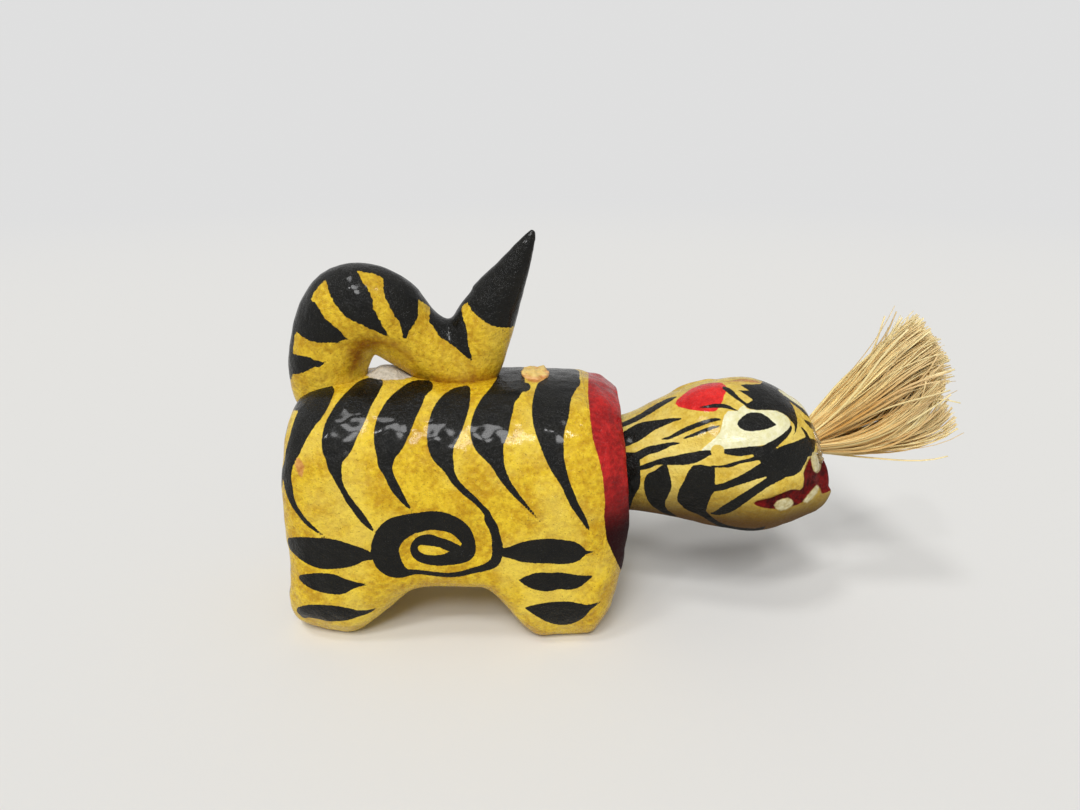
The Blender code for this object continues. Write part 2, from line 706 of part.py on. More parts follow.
def make_tuft(head):
    """Straight-cut fibres in a fan, fused to the slice of the bundle that sits in the nose."""
    nose = nose_point(head)
    axis = Vector((math.cos(TUFT_LEAN), 0, math.sin(TUFT_LEAN)))
    rise = Vector((-math.sin(TUFT_LEAN), 0, math.cos(TUFT_LEAN)))
    frame = Matrix((Vector((0, 1, 0)), rise, axis)).transposed().to_4x4()
    frame = Matrix.Translation(nose + axis * TUFT_STAND) @ frame

    shape = bmesh.new()
    strand = shape.faces.layers.int.new("strand")
    bmesh.ops.create_circle(shape, cap_ends=True, cap_tris=True, segments=6, radius=TUFT_ROOT_RADIUS)
    bmesh.ops.subdivide_edges(shape, edges=shape.edges, cuts=TUFT_LATTICE - 1, use_grid_fill=True)
    bmesh.ops.recalc_face_normals(shape, faces=shape.faces)
    if shape.faces[:][0].normal.z < 0:
        bmesh.ops.reverse_faces(shape, faces=shape.faces)
    roots = [face for face in shape.faces if points_one_way(face)]
    rim = [edge for edge in shape.edges if edge.is_boundary]
    wall = bmesh.ops.extrude_edge_only(shape, edges=rim)["geom"]
    low = [item for item in wall if isinstance(item, bmesh.types.BMVert)]
    bmesh.ops.translate(shape, verts=low, vec=(0, 0, -TUFT_ROOT_DEPTH))
    bmesh.ops.contextual_create(shape, geom=[edge for edge in shape.edges if edge.is_boundary])

    draw = random.Random(7)
    paths = []
    for number, face in enumerate(roots, 1):
        face[strand] = number
        paths.append(strand_path(face, draw))
    corners = [[vertex.co - face.calc_center_median() for vertex in face.verts] for face in roots]
    for segment in range(1, STRAND_SEGMENTS + 1):
        share = segment / STRAND_SEGMENTS
        tips = [face for face in shape.faces if face[strand] > 0]
        made = bmesh.ops.extrude_discrete_faces(shape, faces=tips)["faces"]
        for face in made:
            number = face[strand] - 1
            middle = paths[number](share)
            size = 1 - (1 - STRAND_TAPER) * share
            for vertex, corner in zip(face.verts, corners[number]):
                vertex.co = middle + corner * size
        for face in shape.faces:
            if face not in made:
                face[strand] = 0
    shape.transform(frame)
    bmesh.ops.recalc_face_normals(shape, faces=shape.faces)
    print("tuft strands", len(roots))
    tuft = add_piece("whisker_tuft", finish_mesh(shape, "whisker_tuft"), PLANT_FIBRE, HEAD_PIVOT)

    back = nose - axis * (TUFT_ROOT_RADIUS + TUFT_ROOT_DEPTH + HEAD_WALL)
    hole = cylinder_mesh("nose_hole", back, nose + axis * REACH, TUFT_ROOT_RADIUS + CLEARANCE, sides=24)
    ring_radius = TUFT_ROOT_RADIUS + CLEARANCE + GLUE_RADIUS
    ring = torus_mesh("whisker_glue_ring", nose, axis, ring_radius, GLUE_RADIUS)
    glue = add_piece("whisker_glue_ring", ring, CLEAR_GLUE, HEAD_PIVOT)
    boolean(glue, add_cutter("glue_seat", sunk_mesh(head, -CLEARANCE, "glue_seat"), HEAD_PIVOT))
    return tuft, glue, add_cutter("nose_hole", hole, HEAD_PIVOT)


def points_one_way(face):
    """True for the lattice's triangles that point along +X, which share no edge with each other."""
    middle = face.calc_center_median()
    return sum(vertex.co.x > middle.x for vertex in face.verts) == 1


def strand_path(face, draw):
    """Course of one strand from its root: it fans out with its place in the bundle and droops."""
    root = face.calc_center_median()
    across = root.x / TUFT_ROOT_RADIUS
    up = root.y / TUFT_ROOT_RADIUS
    length = TUFT_LENGTH - TUFT_LENGTH_SPREAD * draw.random() - TUFT_LOW_TRIM * (1 - up) / 2
    spread_wide = length * math.sin(TUFT_FAN_WIDE * across)
    spread_tall = length * math.sin(TUFT_FAN_TALL * up)
    rise = math.sqrt(length ** 2 - spread_wide ** 2 - spread_tall ** 2)

    def point(share):
        droop = TUFT_DROOP * share ** 2 * (length / TUFT_LENGTH) ** 2
        return root + Vector((spread_wide * share, spread_tall * share - droop, rise * share))

    return point


def box_of(pieces):
    corners = []
    for piece in pieces:
        mesh = evaluated_mesh(piece)
        corners += [vertex.co.copy() for vertex in mesh.vertices]
        bpy.data.meshes.remove(mesh)
    low = [min(corner[axis] for corner in corners) for axis in range(3)]
    high = [max(corner[axis] for corner in corners) for axis in range(3)]
    return Vector(low), Vector(high)


clear_scene()
PARTS = new_collection("papier_mache_tiger")
CUTTERS = new_collection("cutters")

YELLOW_LACQUER = new_material("yellow_lacquer", (0.62, 0.38, 0.05), 0.22)
RED_LACQUER = new_material("red_lacquer", (0.45, 0.03, 0.03), 0.25)
PLAIN_PAPER = new_material("plain_paper", (0.62, 0.55, 0.42), 0.85)
IRON_WIRE = new_material("iron_wire", (0.25, 0.24, 0.23), 0.45, 1.0)
HEMP_THREAD = new_material("hemp_thread", (0.55, 0.45, 0.28), 0.8)
WORN_ORANGE = new_material("worn_orange", (0.62, 0.34, 0.10), 0.4)
PALE_WOOD = new_material("pale_wood", (0.60, 0.45, 0.27), 0.6)
BAMBOO = new_material("bamboo", (0.58, 0.44, 0.22), 0.5)
GREY_CLAY = new_material("grey_clay", (0.30, 0.27, 0.24), 0.9)
PLANT_FIBRE = new_material("plant_fibre", (0.62, 0.43, 0.18), 0.6)
CLEAR_GLUE = new_material("clear_glue", (0.45, 0.33, 0.16), 0.1)

ROOT = add_empty("tiger", (0, 0, 0))
THREAD_PIVOT = add_empty("thread_pivot", THREAD_TOP, ROOT)
LOOP_PIVOT = add_empty("loop_pivot", PIVOT, THREAD_PIVOT)
HEAD_PIVOT = add_empty("head_pivot", PIVOT, LOOP_PIVOT)

body_mesh = body_surface()
head_mesh = head_surface()
body_halves = make_body(body_mesh)
head_halves = make_head(head_mesh)
back_strip, crown_strip, chin_strip = make_seam_strips(body_mesh, head_mesh)
wire_hole = make_tail(body_mesh)
thread_hole = make_thread(body_mesh)
neck_plug, balance_rod, rod_bore = make_plug_and_rod()
whisker_tuft, glue_ring, nose_hole = make_tuft(head_mesh)
for body_half in body_halves:
    boolean(body_half, wire_hole)
    boolean(body_half, thread_hole)
boolean(back_strip, thread_hole)
for head_half in head_halves:
    boolean(head_half, nose_hole)

carried_by_head = [(piece, PAPER_DENSITY) for piece in (*head_halves, crown_strip, chin_strip)]
carried_by_head += [(neck_plug, WOOD_DENSITY), (balance_rod, WOOD_DENSITY)]
carried_by_head += [(whisker_tuft, FIBRE_DENSITY), (glue_ring, GLUE_DENSITY)]
make_weight(carried_by_head, rod_bore)

lowest, highest = box_of(piece for piece in PARTS.objects if piece.type == "MESH")
ROOT.location.x = -(lowest.x + highest.x) / 2
bpy.context.view_layer.update()
print("size", [round(value, 5) for value in highest - lowest])
print("thread top", [round(value, 6) for value in THREAD_PIVOT.matrix_world.translation])
print("loop and nod", [round(value, 6) for value in HEAD_PIVOT.matrix_world.translation])
print("body middle", [round(value, 6) for value in ROOT.matrix_world.translation])
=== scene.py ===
import math
import random

import bmesh
import bpy
import numpy as np
from mathutils import Matrix, Vector, noise


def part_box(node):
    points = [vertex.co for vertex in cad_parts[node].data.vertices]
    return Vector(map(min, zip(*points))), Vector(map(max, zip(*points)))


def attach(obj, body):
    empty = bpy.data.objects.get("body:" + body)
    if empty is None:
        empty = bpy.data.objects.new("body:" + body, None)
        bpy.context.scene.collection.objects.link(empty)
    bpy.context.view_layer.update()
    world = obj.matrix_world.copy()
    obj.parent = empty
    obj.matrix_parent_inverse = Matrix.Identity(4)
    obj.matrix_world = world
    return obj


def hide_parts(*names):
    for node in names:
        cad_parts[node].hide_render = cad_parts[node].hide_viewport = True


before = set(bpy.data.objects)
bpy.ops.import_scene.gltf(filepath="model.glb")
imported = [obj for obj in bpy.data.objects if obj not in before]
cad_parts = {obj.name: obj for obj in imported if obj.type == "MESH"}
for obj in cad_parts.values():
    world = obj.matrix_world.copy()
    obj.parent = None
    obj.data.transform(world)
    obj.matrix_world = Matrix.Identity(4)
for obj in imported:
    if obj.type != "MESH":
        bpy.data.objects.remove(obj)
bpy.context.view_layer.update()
scene = bpy.context.scene
scene.view_settings.view_transform = "Standard"

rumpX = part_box("body_half_right")[0].x
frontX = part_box("mouth_ring")[1].x
bodyMiddle = (rumpX + frontX) / 2
print("frame loaded, body middle at", round(bodyMiddle, 5))

# camera, at the photograph's place and angle
photoView = {
    "ahead": 0.0184,  # forward of the body's middle
    "away": 0.178,  # to the side of it
    "height": 0.110,
    "tilt": math.radians(18.5),
    "focal": 811.0,  # in pixels of the picture
    "wide": 1080,
    "tall": 810,
    "sensor": 36,
    "clip": (0.01, 20),
    "pixelsPerMm": 4.5,  # at the near flank
}
cameraPlace = (bodyMiddle + photoView["ahead"], -photoView["away"], photoView["height"])


def makeCamera():
    data = bpy.data.cameras.new("photoCamera")
    data.sensor_fit = "HORIZONTAL"
    data.sensor_width = photoView["sensor"]
    data.lens = photoView["focal"] * data.sensor_width / photoView["wide"]
    data.clip_start, data.clip_end = photoView["clip"]
    camera = bpy.data.objects.new("photoCamera", data)
    camera.location = cameraPlace
    camera.rotation_euler = (math.pi / 2 - photoView["tilt"], 0, 0)
    scene.collection.objects.link(camera)
    scene.camera = camera


def photoPlace(points):
    # picture place of each point
    across = points[:, 0] - bodyMiddle - photoView["ahead"]
    away = photoView["away"] + points[:, 1]
    rise = points[:, 2] - photoView["height"]
    cosTilt = math.cos(photoView["tilt"])
    sinTilt = math.sin(photoView["tilt"])
    depth = away * cosTilt - rise * sinTilt
    up = away * sinTilt + rise * cosTilt
    px = photoView["wide"] / 2 + photoView["focal"] * across / depth
    py = photoView["tall"] / 2 - photoView["focal"] * up / depth
    return px, py


makeCamera()
print("camera placed")


# curves and distances that the forms and the brushwork share
def smoothCourse(points, steps):
    rows = np.array(points, float)
    rows = np.vstack([2 * rows[0] - rows[1], rows, 2 * rows[-1] - rows[-2]])
    share = (np.arange(steps) / steps)[:, None]
    fine = []
    for a, b, c, d in zip(rows, rows[1:], rows[2:], rows[3:]):
        curve = 2 * a - 5 * b + 4 * c - d + share * (3 * (b - c) + d - a)
        fine.append(b + 0.5 * share * (c - a + share * curve))
    fine.append(rows[-2][None, :])
    return np.vstack(fine)


def evenRows(rows, lengths, count):
    # rows resampled so that the lengths between them are all the same
    reached = np.concatenate([[0], np.cumsum(lengths)])
    goals = np.linspace(0, reached[-1], count)
    return np.column_stack([np.interp(goals, reached, column) for column in rows.T])


def smoothStep(value, low, high):
    share = np.clip((value - low) / (high - low), 0, 1)
    return share * share * (3 - 2 * share)


strokeSteps = 5
farPixels = 24.0


def nearby(px, py, corners, reach):
    # which places lie within reach of the corners' box
    low = corners.min(0) - reach
    high = corners.max(0) + reach
    return (px > low[0]) & (px < high[0]) & (py > low[1]) & (py < high[1])


def lineDistance(x, y, start, end):
    # how far along the line each place lies, 0 to 1, and how far from it
    dx, dy = end[:2] - start[:2]
    share = np.clip(((x - start[0]) * dx + (y - start[1]) * dy) / max(dx * dx + dy * dy, 1e-9), 0, 1)
    return share, np.hypot(x - start[0] - share * dx, y - start[1] - share * dy)


def strokeDistance(px, py, course):
    # a brush stroke: place and half width along its course
    fine = smoothCourse(course, strokeSteps)
    near = nearby(px, py, fine[:, :2], fine[:, 2].max() + farPixels)
    x = px[near]
    y = py[near]
    best = np.full(x.shape, farPixels)
    for start, end in zip(fine, fine[1:]):
        share, gap = lineDistance(x, y, start, end)
        best = np.minimum(best, gap - start[2] - share * (end[2] - start[2]))
    result = np.full(px.shape, farPixels)
    result[near] = best
    return result


def patchDistance(px, py, outline):
    # a filled patch: negative inside
    corners = np.array(outline, float)
    near = nearby(px, py, corners, farPixels)
    x = px[near]
    y = py[near]
    best = np.full(x.shape, farPixels)
    inside = np.zeros(x.shape, bool)
    for start, end in zip(corners, np.roll(corners, -1, axis=0)):
        best = np.minimum(best, lineDistance(x, y, start, end)[1])
        dx, dy = end - start
        if dy != 0:
            crosses = (start[1] > y) != (end[1] > y)
            inside ^= crosses & (x < start[0] + dx * (y - start[1]) / dy)
    result = np.full(px.shape, farPixels)
    result[near] = np.where(inside, -best, best)
    return result


def layerDistance(px, py, strokes=(), patches=()):
    # nearest of all strokes and patches, in millimetres at the near flank
    result = np.full(px.shape, farPixels)
    for course in strokes:
        result = np.minimum(result, strokeDistance(px, py, course))
    for outline in patches:
        result = np.minimum(result, patchDistance(px, py, outline))
    return result / photoView["pixelsPerMm"]


grazing = 0.22  # paint as seen fades out where the surface turns this far from the camera


def paintSides(points, normals, painter):
    # what the camera sees is painted as seen; the far side mirrors the near side
    nearSide = np.column_stack([points[:, 0], -np.abs(points[:, 1]), points[:, 2]])
    layers = painter(nearSide, normals, *photoPlace(nearSide))
    towards = np.array(cameraPlace) - points
    towards /= np.linalg.norm(towards, axis=1)[:, None]
    share = smoothStep((normals * towards).sum(1), 0.0, grazing)
    chosen = np.nonzero((points[:, 1] > 0) & (share > 0))[0]
    seen = painter(points[chosen], normals[chosen], *photoPlace(points[chosen]))
    for name, values in layers.items():
        values[chosen] += share[chosen] * (seen[name] - values[chosen])
    return layers


paintLayers = ("ink", "red", "mouth", "cream", "teeth", "orange", "bare", "glueAndShade", "inside")
farMm = farPixels / photoView["pixelsPerMm"]


def setPaint(mesh, layers):
    for name in paintLayers:
        values = layers.get(name)
        if values is None:
            values = np.full(len(mesh.vertices), 0.0 if name == "inside" else farMm)
        attribute = mesh.attributes.new(name, "FLOAT", "POINT")
        attribute.data.foreach_set("value", values.astype(np.float32))


def meshRows(mesh):
    points = np.zeros(len(mesh.vertices) * 3)
    normals = np.zeros(len(mesh.vertices) * 3)
    mesh.vertices.foreach_get("co", points)
    mesh.vertex_normals.foreach_get("vector", normals)
    return points.reshape(-1, 3), normals.reshape(-1, 3)


# brushwork of the flank, read off the photograph as strokes: x, y, half width in picture pixels
flankStrokes = {
    "rumpStripe": [
        (328, 391, 6.5), (319, 401, 11), (312, 410, 12.5), (306.5, 419, 10.8), (302.5, 427, 9.9),
        (299, 435, 8.6), (295.3, 445, 7.7), (291.5, 455, 6.7), (288, 464, 5.5), (286.5, 472, 5.2),
        (287.3, 480, 4.1), (289, 489, 3.9), (291, 498, 3.1), (295.5, 507.5, 2.5), (302.5, 517.5, 2.1),
        (310.5, 526, 2), (325, 537, 0.4),
    ],
    "rumpShoulder": [(284, 400, 10.5), (300, 401, 9.5), (314, 400, 9)],
    "secondStripe": [
        (378, 383, 5), (367, 390, 11.5), (358.5, 400, 14), (352, 410, 16.2), (346.5, 420, 17.3),
        (341.3, 430, 17.3), (338, 441, 16.3), (336, 449, 13.6), (334.5, 456.5, 9.3), (334.5, 466, 7.2),
        (336.7, 474, 5.1), (339, 482, 3.4), (343, 490, 2.8), (348, 499, 3.1), (355.5, 509, 3.5),
        (362.3, 518, 3.6), (368.5, 525.5, 2.5), (375, 532.5, 0.5),
    ],
    "thirdStripe": [
        (427, 386, 6), (416, 391, 10.5), (408.5, 400, 14.3), (401, 410, 16.8), (395.8, 420, 17.8),
        (392, 430, 17.6), (389.5, 440, 15.6), (387.3, 448, 12.2), (386, 456, 9.2), (385.3, 464, 7.6),
        (387.6, 471.5, 5.1), (391, 480, 4.7), (395.3, 488, 4.7), (401, 497, 3.4), (406.7, 504.5, 2),
        (412.3, 511.3, 0.5),
    ],
    "swirlStripe": [
        (466, 390, 4.5), (457, 401, 13), (450, 413, 17), (445, 427, 17), (441.3, 440, 14.3),
        (441.3, 449, 12.3), (443, 456.5, 10), (447, 464.5, 6.8), (450, 472, 4.6), (454.5, 480.5, 3.7),
        (461, 488, 3.3), (467.5, 494, 3.3), (474.5, 500, 2.9), (481.5, 507, 2.7), (487.3, 514, 3.4),
        (489, 520, 4.4), (493, 527, 4.8), (495.5, 535, 4.4), (497.7, 545, 5.2),
    ],
    "swirl": [
        (497, 545, 5.5), (497.5, 554, 5.3), (494, 562.5, 5), (485, 567.5, 3.6), (473, 570.5, 3),
        (460, 574, 2.6), (446, 575, 2.3), (430, 573.4, 2.2), (416, 572, 2.4), (405, 572.5, 4.5),
        (396, 569, 9), (388, 561, 13), (385, 551, 14), (387, 541, 14), (394, 531.5, 13.5),
        (408, 525, 10.8), (420, 522.3, 9.6), (430, 520.5, 9.4), (441, 521.3, 9.4), (450, 523.7, 8.8),
        (458, 528, 8.4), (464.5, 534.5, 8), (468.5, 543, 6.8), (466.5, 552, 8.5), (458, 556, 8),
        (446, 559.5, 6), (436, 560.4, 5.2), (428, 559.7, 4.8), (420.5, 557.5, 4.5), (415, 552.5, 4.2),
        (414.3, 546, 3.6), (419, 541, 4.2), (428, 540, 5.8), (439, 542.2, 4.9), (447, 545, 5.2),
        (456, 549, 4.8),
    ],
    "fifthStripe": [
        (511, 372, 12.5), (510, 384, 14.5), (502, 396, 14.2), (496.5, 407, 17), (492, 418, 18.8),
        (489.3, 430, 19), (488.3, 440, 16), (491, 448.5, 12.3), (494.5, 456.5, 9.2), (498, 465, 6.4),
        (502.3, 475, 5), (508.5, 485, 3.7), (515.5, 494, 3), (523.5, 503, 2), (532, 512.5, 1.2),
        (541, 522.3, 0.4),
    ],
    "fifthNib": [(514, 387, 6), (526, 387, 4.5)],
    "sixthStripe": [
        (563, 368, 15), (563, 378, 16.5), (555, 390, 18.3), (551.5, 402, 18.8), (550.5, 414, 18.4),
        (549.8, 426, 15.6), (551, 438, 12.8), (552.8, 448, 11), (555, 458, 9.2), (558, 467, 7.8),
        (562, 476, 6), (566, 485, 4.7), (570, 494.5, 4.6), (574, 503.5, 4.1), (579, 512, 3.6),
        (584, 520, 2.8), (587.5, 527, 1.7), (590.5, 531, 0.4),
    ],
    "sixthCorner": [(570, 382, 6.5), (574, 382, 6.5)],
    "rearDabHigh": [
        (291, 542.5, 5), (300, 546.5, 9.5), (310, 550.3, 13), (321, 553.2, 15.2), (332, 554.2, 15),
        (343, 555.2, 12.8), (353, 555.5, 10), (361, 554.8, 6.8), (371, 556.5, 3.5),
    ],
    "rearDabMiddle": [
        (301.5, 577.5, 2.8), (310, 580.3, 6.8), (320, 582.2, 9.3), (331, 584, 10), (341, 586, 8.3),
        (350, 585.3, 4.8), (360, 584.7, 1.8), (370, 584.5, 0.3),
    ],
    "rearDabLow": [
        (300.5, 610.3, 3.8), (310, 612.6, 8), (322, 613.2, 8.4), (335, 613.5, 7.7), (347, 614, 6.2),
        (357, 613.5, 3.5), (367, 612, 2), (377.5, 608, 0.4),
    ],
    "frontDabHigh": [
        (499, 552.3, 3.7), (512, 552.5, 6.3), (524, 552, 10.2), (537, 551.4, 12), (550, 551.1, 12.4),
        (562, 552, 12.2), (572, 552.2, 10.6), (579, 552.2, 6.5), (586, 552.2, 2), (596, 552.2, 0.5),
    ],
    "frontDabMiddle": [
        (519, 580.6, 0.5), (524, 580.6, 3.2), (531, 581.2, 6.5), (540, 581.5, 9.2), (549, 582, 9.2),
        (559, 580.8, 8.4), (569, 581.8, 8), (577, 581.2, 6.4), (584, 579.2, 3.6), (593, 575.9, 0.5),
    ],
    "frontDabLow": [
        (525.5, 608, 0.6), (532, 609, 3.6), (541, 610.7, 7), (550, 612.2, 10), (560.5, 613.2, 11.8),
        (571, 612.6, 10.8), (580, 611, 7.4), (588, 608, 3.2), (600, 602, 0.4),
    ],
}

# strokes of the rump's rear face, which the photograph doesn't show, in mm: aside, height, half width
rumpStrokes = {
    "shoulder": [(20, 53, 2.4), (13.5, 49.5, 2.4), (9, 45.5, 0.5)],
    "bulge": [(23, 42, 1.2), (17, 39.5, 2.2), (11, 36.5, 2.1), (5, 35.5, 1.1), (2, 36, 0.2)],
    "lowBulge": [(21, 31, 0.4), (15, 28.5, 1.7), (9, 26.5, 1.7), (4, 26.8, 0.3)],
    "legHigh": [(19.5, 18.6, 0.5), (16, 18, 2.2), (12, 17.8, 2.8), (8, 18.4, 0.5)],
    "legMiddle": [(18.5, 11.8, 0.4), (15, 11.3, 1.8), (11.5, 11.2, 2.1), (8.5, 11.8, 0.3)],
    "legLow": [(17.5, 5.2, 0.4), (14.5, 4.9, 1.5), (11.5, 4.8, 1.6), (9, 5.2, 0.3)],
}

collarPatch = [
    (596, 366), (588.5, 376), (588, 394), (590, 417), (593, 440), (599, 459), (603, 478), (605, 503),
    (604, 517), (606.7, 540), (613.7, 555), (622, 573), (640, 585), (670, 585), (670, 360),
]

# body: an open-fronted loaf on four short legs
bodyForm = {
    "length": 0.0772,
    "width": 0.0460,
    "back": 0.0580,
    "flank": 0.0280,
    "wall": 0.0016,
    "endSquareness": 6.5,
    "backSquareness": 2.6,
    "flankSquareness": 4.5,
    "footFullness": 0.60,
    "heelFullness": 0.30,
    "heelFlare": 0.0014,
    "heelRange": (0.030, 0.0375),  # behind the middle
    "heelHeights": (0.003, 0.018),
    "footInset": 0.10,
    "insetRange": (0.006, 0.024),
    "insetHeight": 0.012,
    "soleCut": 0.0020,
    "archHeight": 0.0133,
    "archRear": 0.0072,
    "archRearSlope": 0.0185,
    "archFront": 0.0046,
    "archFrontSlope": 0.0150,
    "toeSetback": 0.0100,
    "toeRadius": 0.0076,
    "toeShare": 0.98,
    "groinHeight": 0.0075,
    "groinWidth": 0.0060,
    "groinSlope": 0.0070,
    "mouthWide": 0.0352,
    "mouthTall": 0.0356,
    "mouthHeight": 0.0365,
    "rimX": 0.0374,  # forward of the middle, at the mouth's height
    "rimLean": 0.075,
    "rimPaint": (0.0022, 0.0040),  # red runs this far round the rim
    "rimSpread": 0.80,
    "cornerSpread": 0.97,
    "seamSetback": 0.0064,
    "seamLean": math.radians(11),
    "sides": 380,
    "rings": 224,
    "sectionSamples": 3001,
    "profileSamples": 6001,
    "frontCrowding": 2.2,  # rings stand this much closer on the front face
    "rimSlack": 1.02,
    "barePlace": -0.0160,  # torn patch under the tail's loop, forward of the middle
    "bareLength": 0.0062,
    "bareWidth": 0.0050,
    "bareHeight": 0.0019,
    "bareFade": 0.8,
    "lumpSize": 0.0085,
    "lumpHeight": 0.00046,
    "dimpleSize": 0.0027,
    "dimpleHeight": 0.00015,
    "seed": (0.3, 0.1, 0.7),
    "collarIn": (0.0042, 0.0062),  # the collar's bulges fade in and out behind the front
    "collarOut": (0.0080, 0.0110),
    "collarLumpSize": 0.0056,
    "collarLumpHeight": 0.00060,
    "collarSeed": (0.7, 0.2, 0.4),
    "collarLowMm": 9.6,
    "rumpTurn": (0.80, 0.95),  # the rump's own paint begins where the surface turns this far to the rear
    "bellyTurn": (0.45, 0.8),
}

# marks on the back in mm: middle forward of the body's, half length, half width, slope, lowest height
backMarks = {
    "bare": (-15.6, 5.6, 4.6, 4.6, 50),
    "orange": (17.4, 2.9, 6.0, 3, 48),
    # glue and painted shade: brown on the back round the tail's landing
    "glueAndShade": (1.1, 9.4, 6.4, 6.4, 50),
}

rumpChip = [(298, 460, 2.5), (299.5, 467, 4.5), (301, 475, 2)]


def powerReach(angle, squareness):
    return (np.abs(np.cos(angle)) ** squareness + np.abs(np.sin(angle)) ** squareness) ** (-1 / squareness)


def bodySection():
    # unit section, from the left flank over the back and then the belly
    form = bodyForm
    halves = []
    for start, squareness, tall in (
        (0, form["backSquareness"], form["back"] - form["flank"]),
        (math.pi, form["flankSquareness"], form["flank"]),
    ):
        angle = start + np.linspace(0, math.pi, form["sectionSamples"])
        reach = powerReach(angle, squareness)
        rows = np.column_stack([np.cos(angle) * reach, np.sin(angle) * reach])
        steps = np.hypot(np.diff(rows[:, 0]) * form["width"] / 2, np.diff(rows[:, 1]) * tall)
        halves.append(evenRows(rows, steps, form["sides"] // 2 + 1)[:-1])
    return np.vstack(halves)


def bodyProfile():
    # place along the body and spread of the section, from the rump's middle to the mouth's rim
    form = bodyForm
    angle = np.linspace(math.pi, 0, form["profileSamples"])
    reach = powerReach(angle, form["endSquareness"])
    rows = np.column_stack([np.cos(angle) * reach, np.sin(angle) * reach])
    rows = rows[(rows[:, 0] < 0) | (rows[:, 1] > form["rimSpread"])]
    steps = np.hypot(np.diff(rows[:, 0]) * form["length"] / 2, np.diff(rows[:, 1]) * form["width"] / 2)
    front = (rows[1:, 0] > 0) & (rows[1:, 1] < form["cornerSpread"])
    steps = steps * np.where(front, form["frontCrowding"], 1.0)
    return evenRows(rows, steps, form["rings"])


def groundLift(x, y):
    form = bodyForm
    if x < 0:
        leg = smoothStep(-x, form["archRear"], form["archRear"] + form["archRearSlope"])
    else:
        leg = smoothStep(x, form["archFront"], form["archFront"] + form["archFrontSlope"])
    side = smoothStep(abs(y), form["groinWidth"] / 2, form["groinWidth"] / 2 + form["groinSlope"])
    toe = min(max(x - form["length"] / 2 + form["toeSetback"], 0), form["toeShare"] * form["toeRadius"])
    toeLift = form["toeRadius"] - math.sqrt(form["toeRadius"] ** 2 - toe**2)
    return max(form["archHeight"] * (1 - leg) + form["groinHeight"] * leg * (1 - side), toeLift)


def bodyPoint(along, spread, across, up):
    form = bodyForm
    x = along * form["length"] / 2
    y = across * spread * form["width"] / 2
    if up >= 0:
        z = form["flank"] + up * spread * (form["back"] - form["flank"])
        patch = math.hypot((x - form["barePlace"]) / form["bareLength"], y / form["bareWidth"])
        z += form["bareHeight"] * smoothStep(1 - patch, 0, form["bareFade"])
    else:
        fullness = form["heelFullness"] if along < 0 else form["footFullness"]
        z = max(0, form["flank"] + up * spread**fullness * (form["flank"] + form["soleCut"]))
        if along < 0:
            inset = form["footInset"] * smoothStep(-x, *form["insetRange"])
            y *= 1 - inset * max(1 - z / form["insetHeight"], 0) ** 2
            heel = smoothStep(-x, *form["heelRange"]) * (1 - smoothStep(z, *form["heelHeights"]))
            x -= form["heelFlare"] * heel
        lift = groundLift(x, y)
        z = lift + z * (1 - lift / form["flank"])
    if along > 0 and spread < form["cornerSpread"]:
        share = smoothStep(form["cornerSpread"] - spread, 0, form["cornerSpread"] - form["rimSpread"])
        turn = math.atan2(z - form["mouthHeight"], y)
        rimY = form["mouthWide"] / 2 * math.cos(turn)
        rimZ = form["mouthHeight"] + form["mouthTall"] / 2 * math.sin(turn)
        rimX = form["rimX"] - form["rimLean"] * (rimZ - form["mouthHeight"])
        x += (rimX - x) * share
        y += (rimY - y) * share
        z += (rimZ - z) * share
    return Vector((bodyMiddle + x, y, z))


def addLumps(bm, form):
    # pasted paper is never smooth: broad lumps and small dimples
    bm.normal_update()
    seed = Vector(form["seed"])
    moves = []
    for vert in bm.verts:
        lump = noise.noise((vert.co + seed) / form["lumpSize"]) * form["lumpHeight"]
        lump += noise.noise((vert.co + seed) / form["dimpleSize"]) * form["dimpleHeight"]
        moves.append(vert.normal * lump)
    for vert, move in zip(bm.verts, moves):
        vert.co += move


def addCollarBulges(bm):
    # the collar's paper is laid on in bulges
    form = bodyForm
    bm.normal_update()
    seed = Vector(form["collarSeed"])
    moves = []
    for vert in bm.verts:
        behind = frontX - vert.co.x
        near = float(smoothStep(behind, *form["collarIn"]))
        near *= 1 - float(smoothStep(behind, *form["collarOut"]))
        bulge = noise.noise((vert.co + seed) / form["collarLumpSize"])
        moves.append(vert.normal * near * bulge * form["collarLumpHeight"])
    for vert, move in zip(bm.verts, moves):
        vert.co += move
        vert.co.z = max(vert.co.z, 0)


def frontColumn(profile, across, up):
    # rings of the front face at one place round it, drawn in to the rim without folding back
    rows = np.array([bodyPoint(*row, across, up) for row in profile])
    rows[:, 0] = np.maximum.accumulate(rows[:, 0])
    rows[:, 2] -= bodyForm["mouthHeight"]
    reach = np.hypot(rows[:, 1], rows[:, 2])
    least = reach[-1] * np.linspace(bodyForm["rimSlack"], 1, len(rows))
    rows[:, 1:] *= np.maximum(least / reach, 1)[:, None]
    rows[:, 2] += bodyForm["mouthHeight"]
    return evenRows(rows, np.linalg.norm(np.diff(rows, axis=0), axis=1), len(rows))


def ballRing(vert, rings):
    # number of the ring of a unit ball that the vertex lies on, from the lower pole up
    return round((math.pi - math.acos(max(-1, min(1, vert.co.z)))) / math.pi * rings)


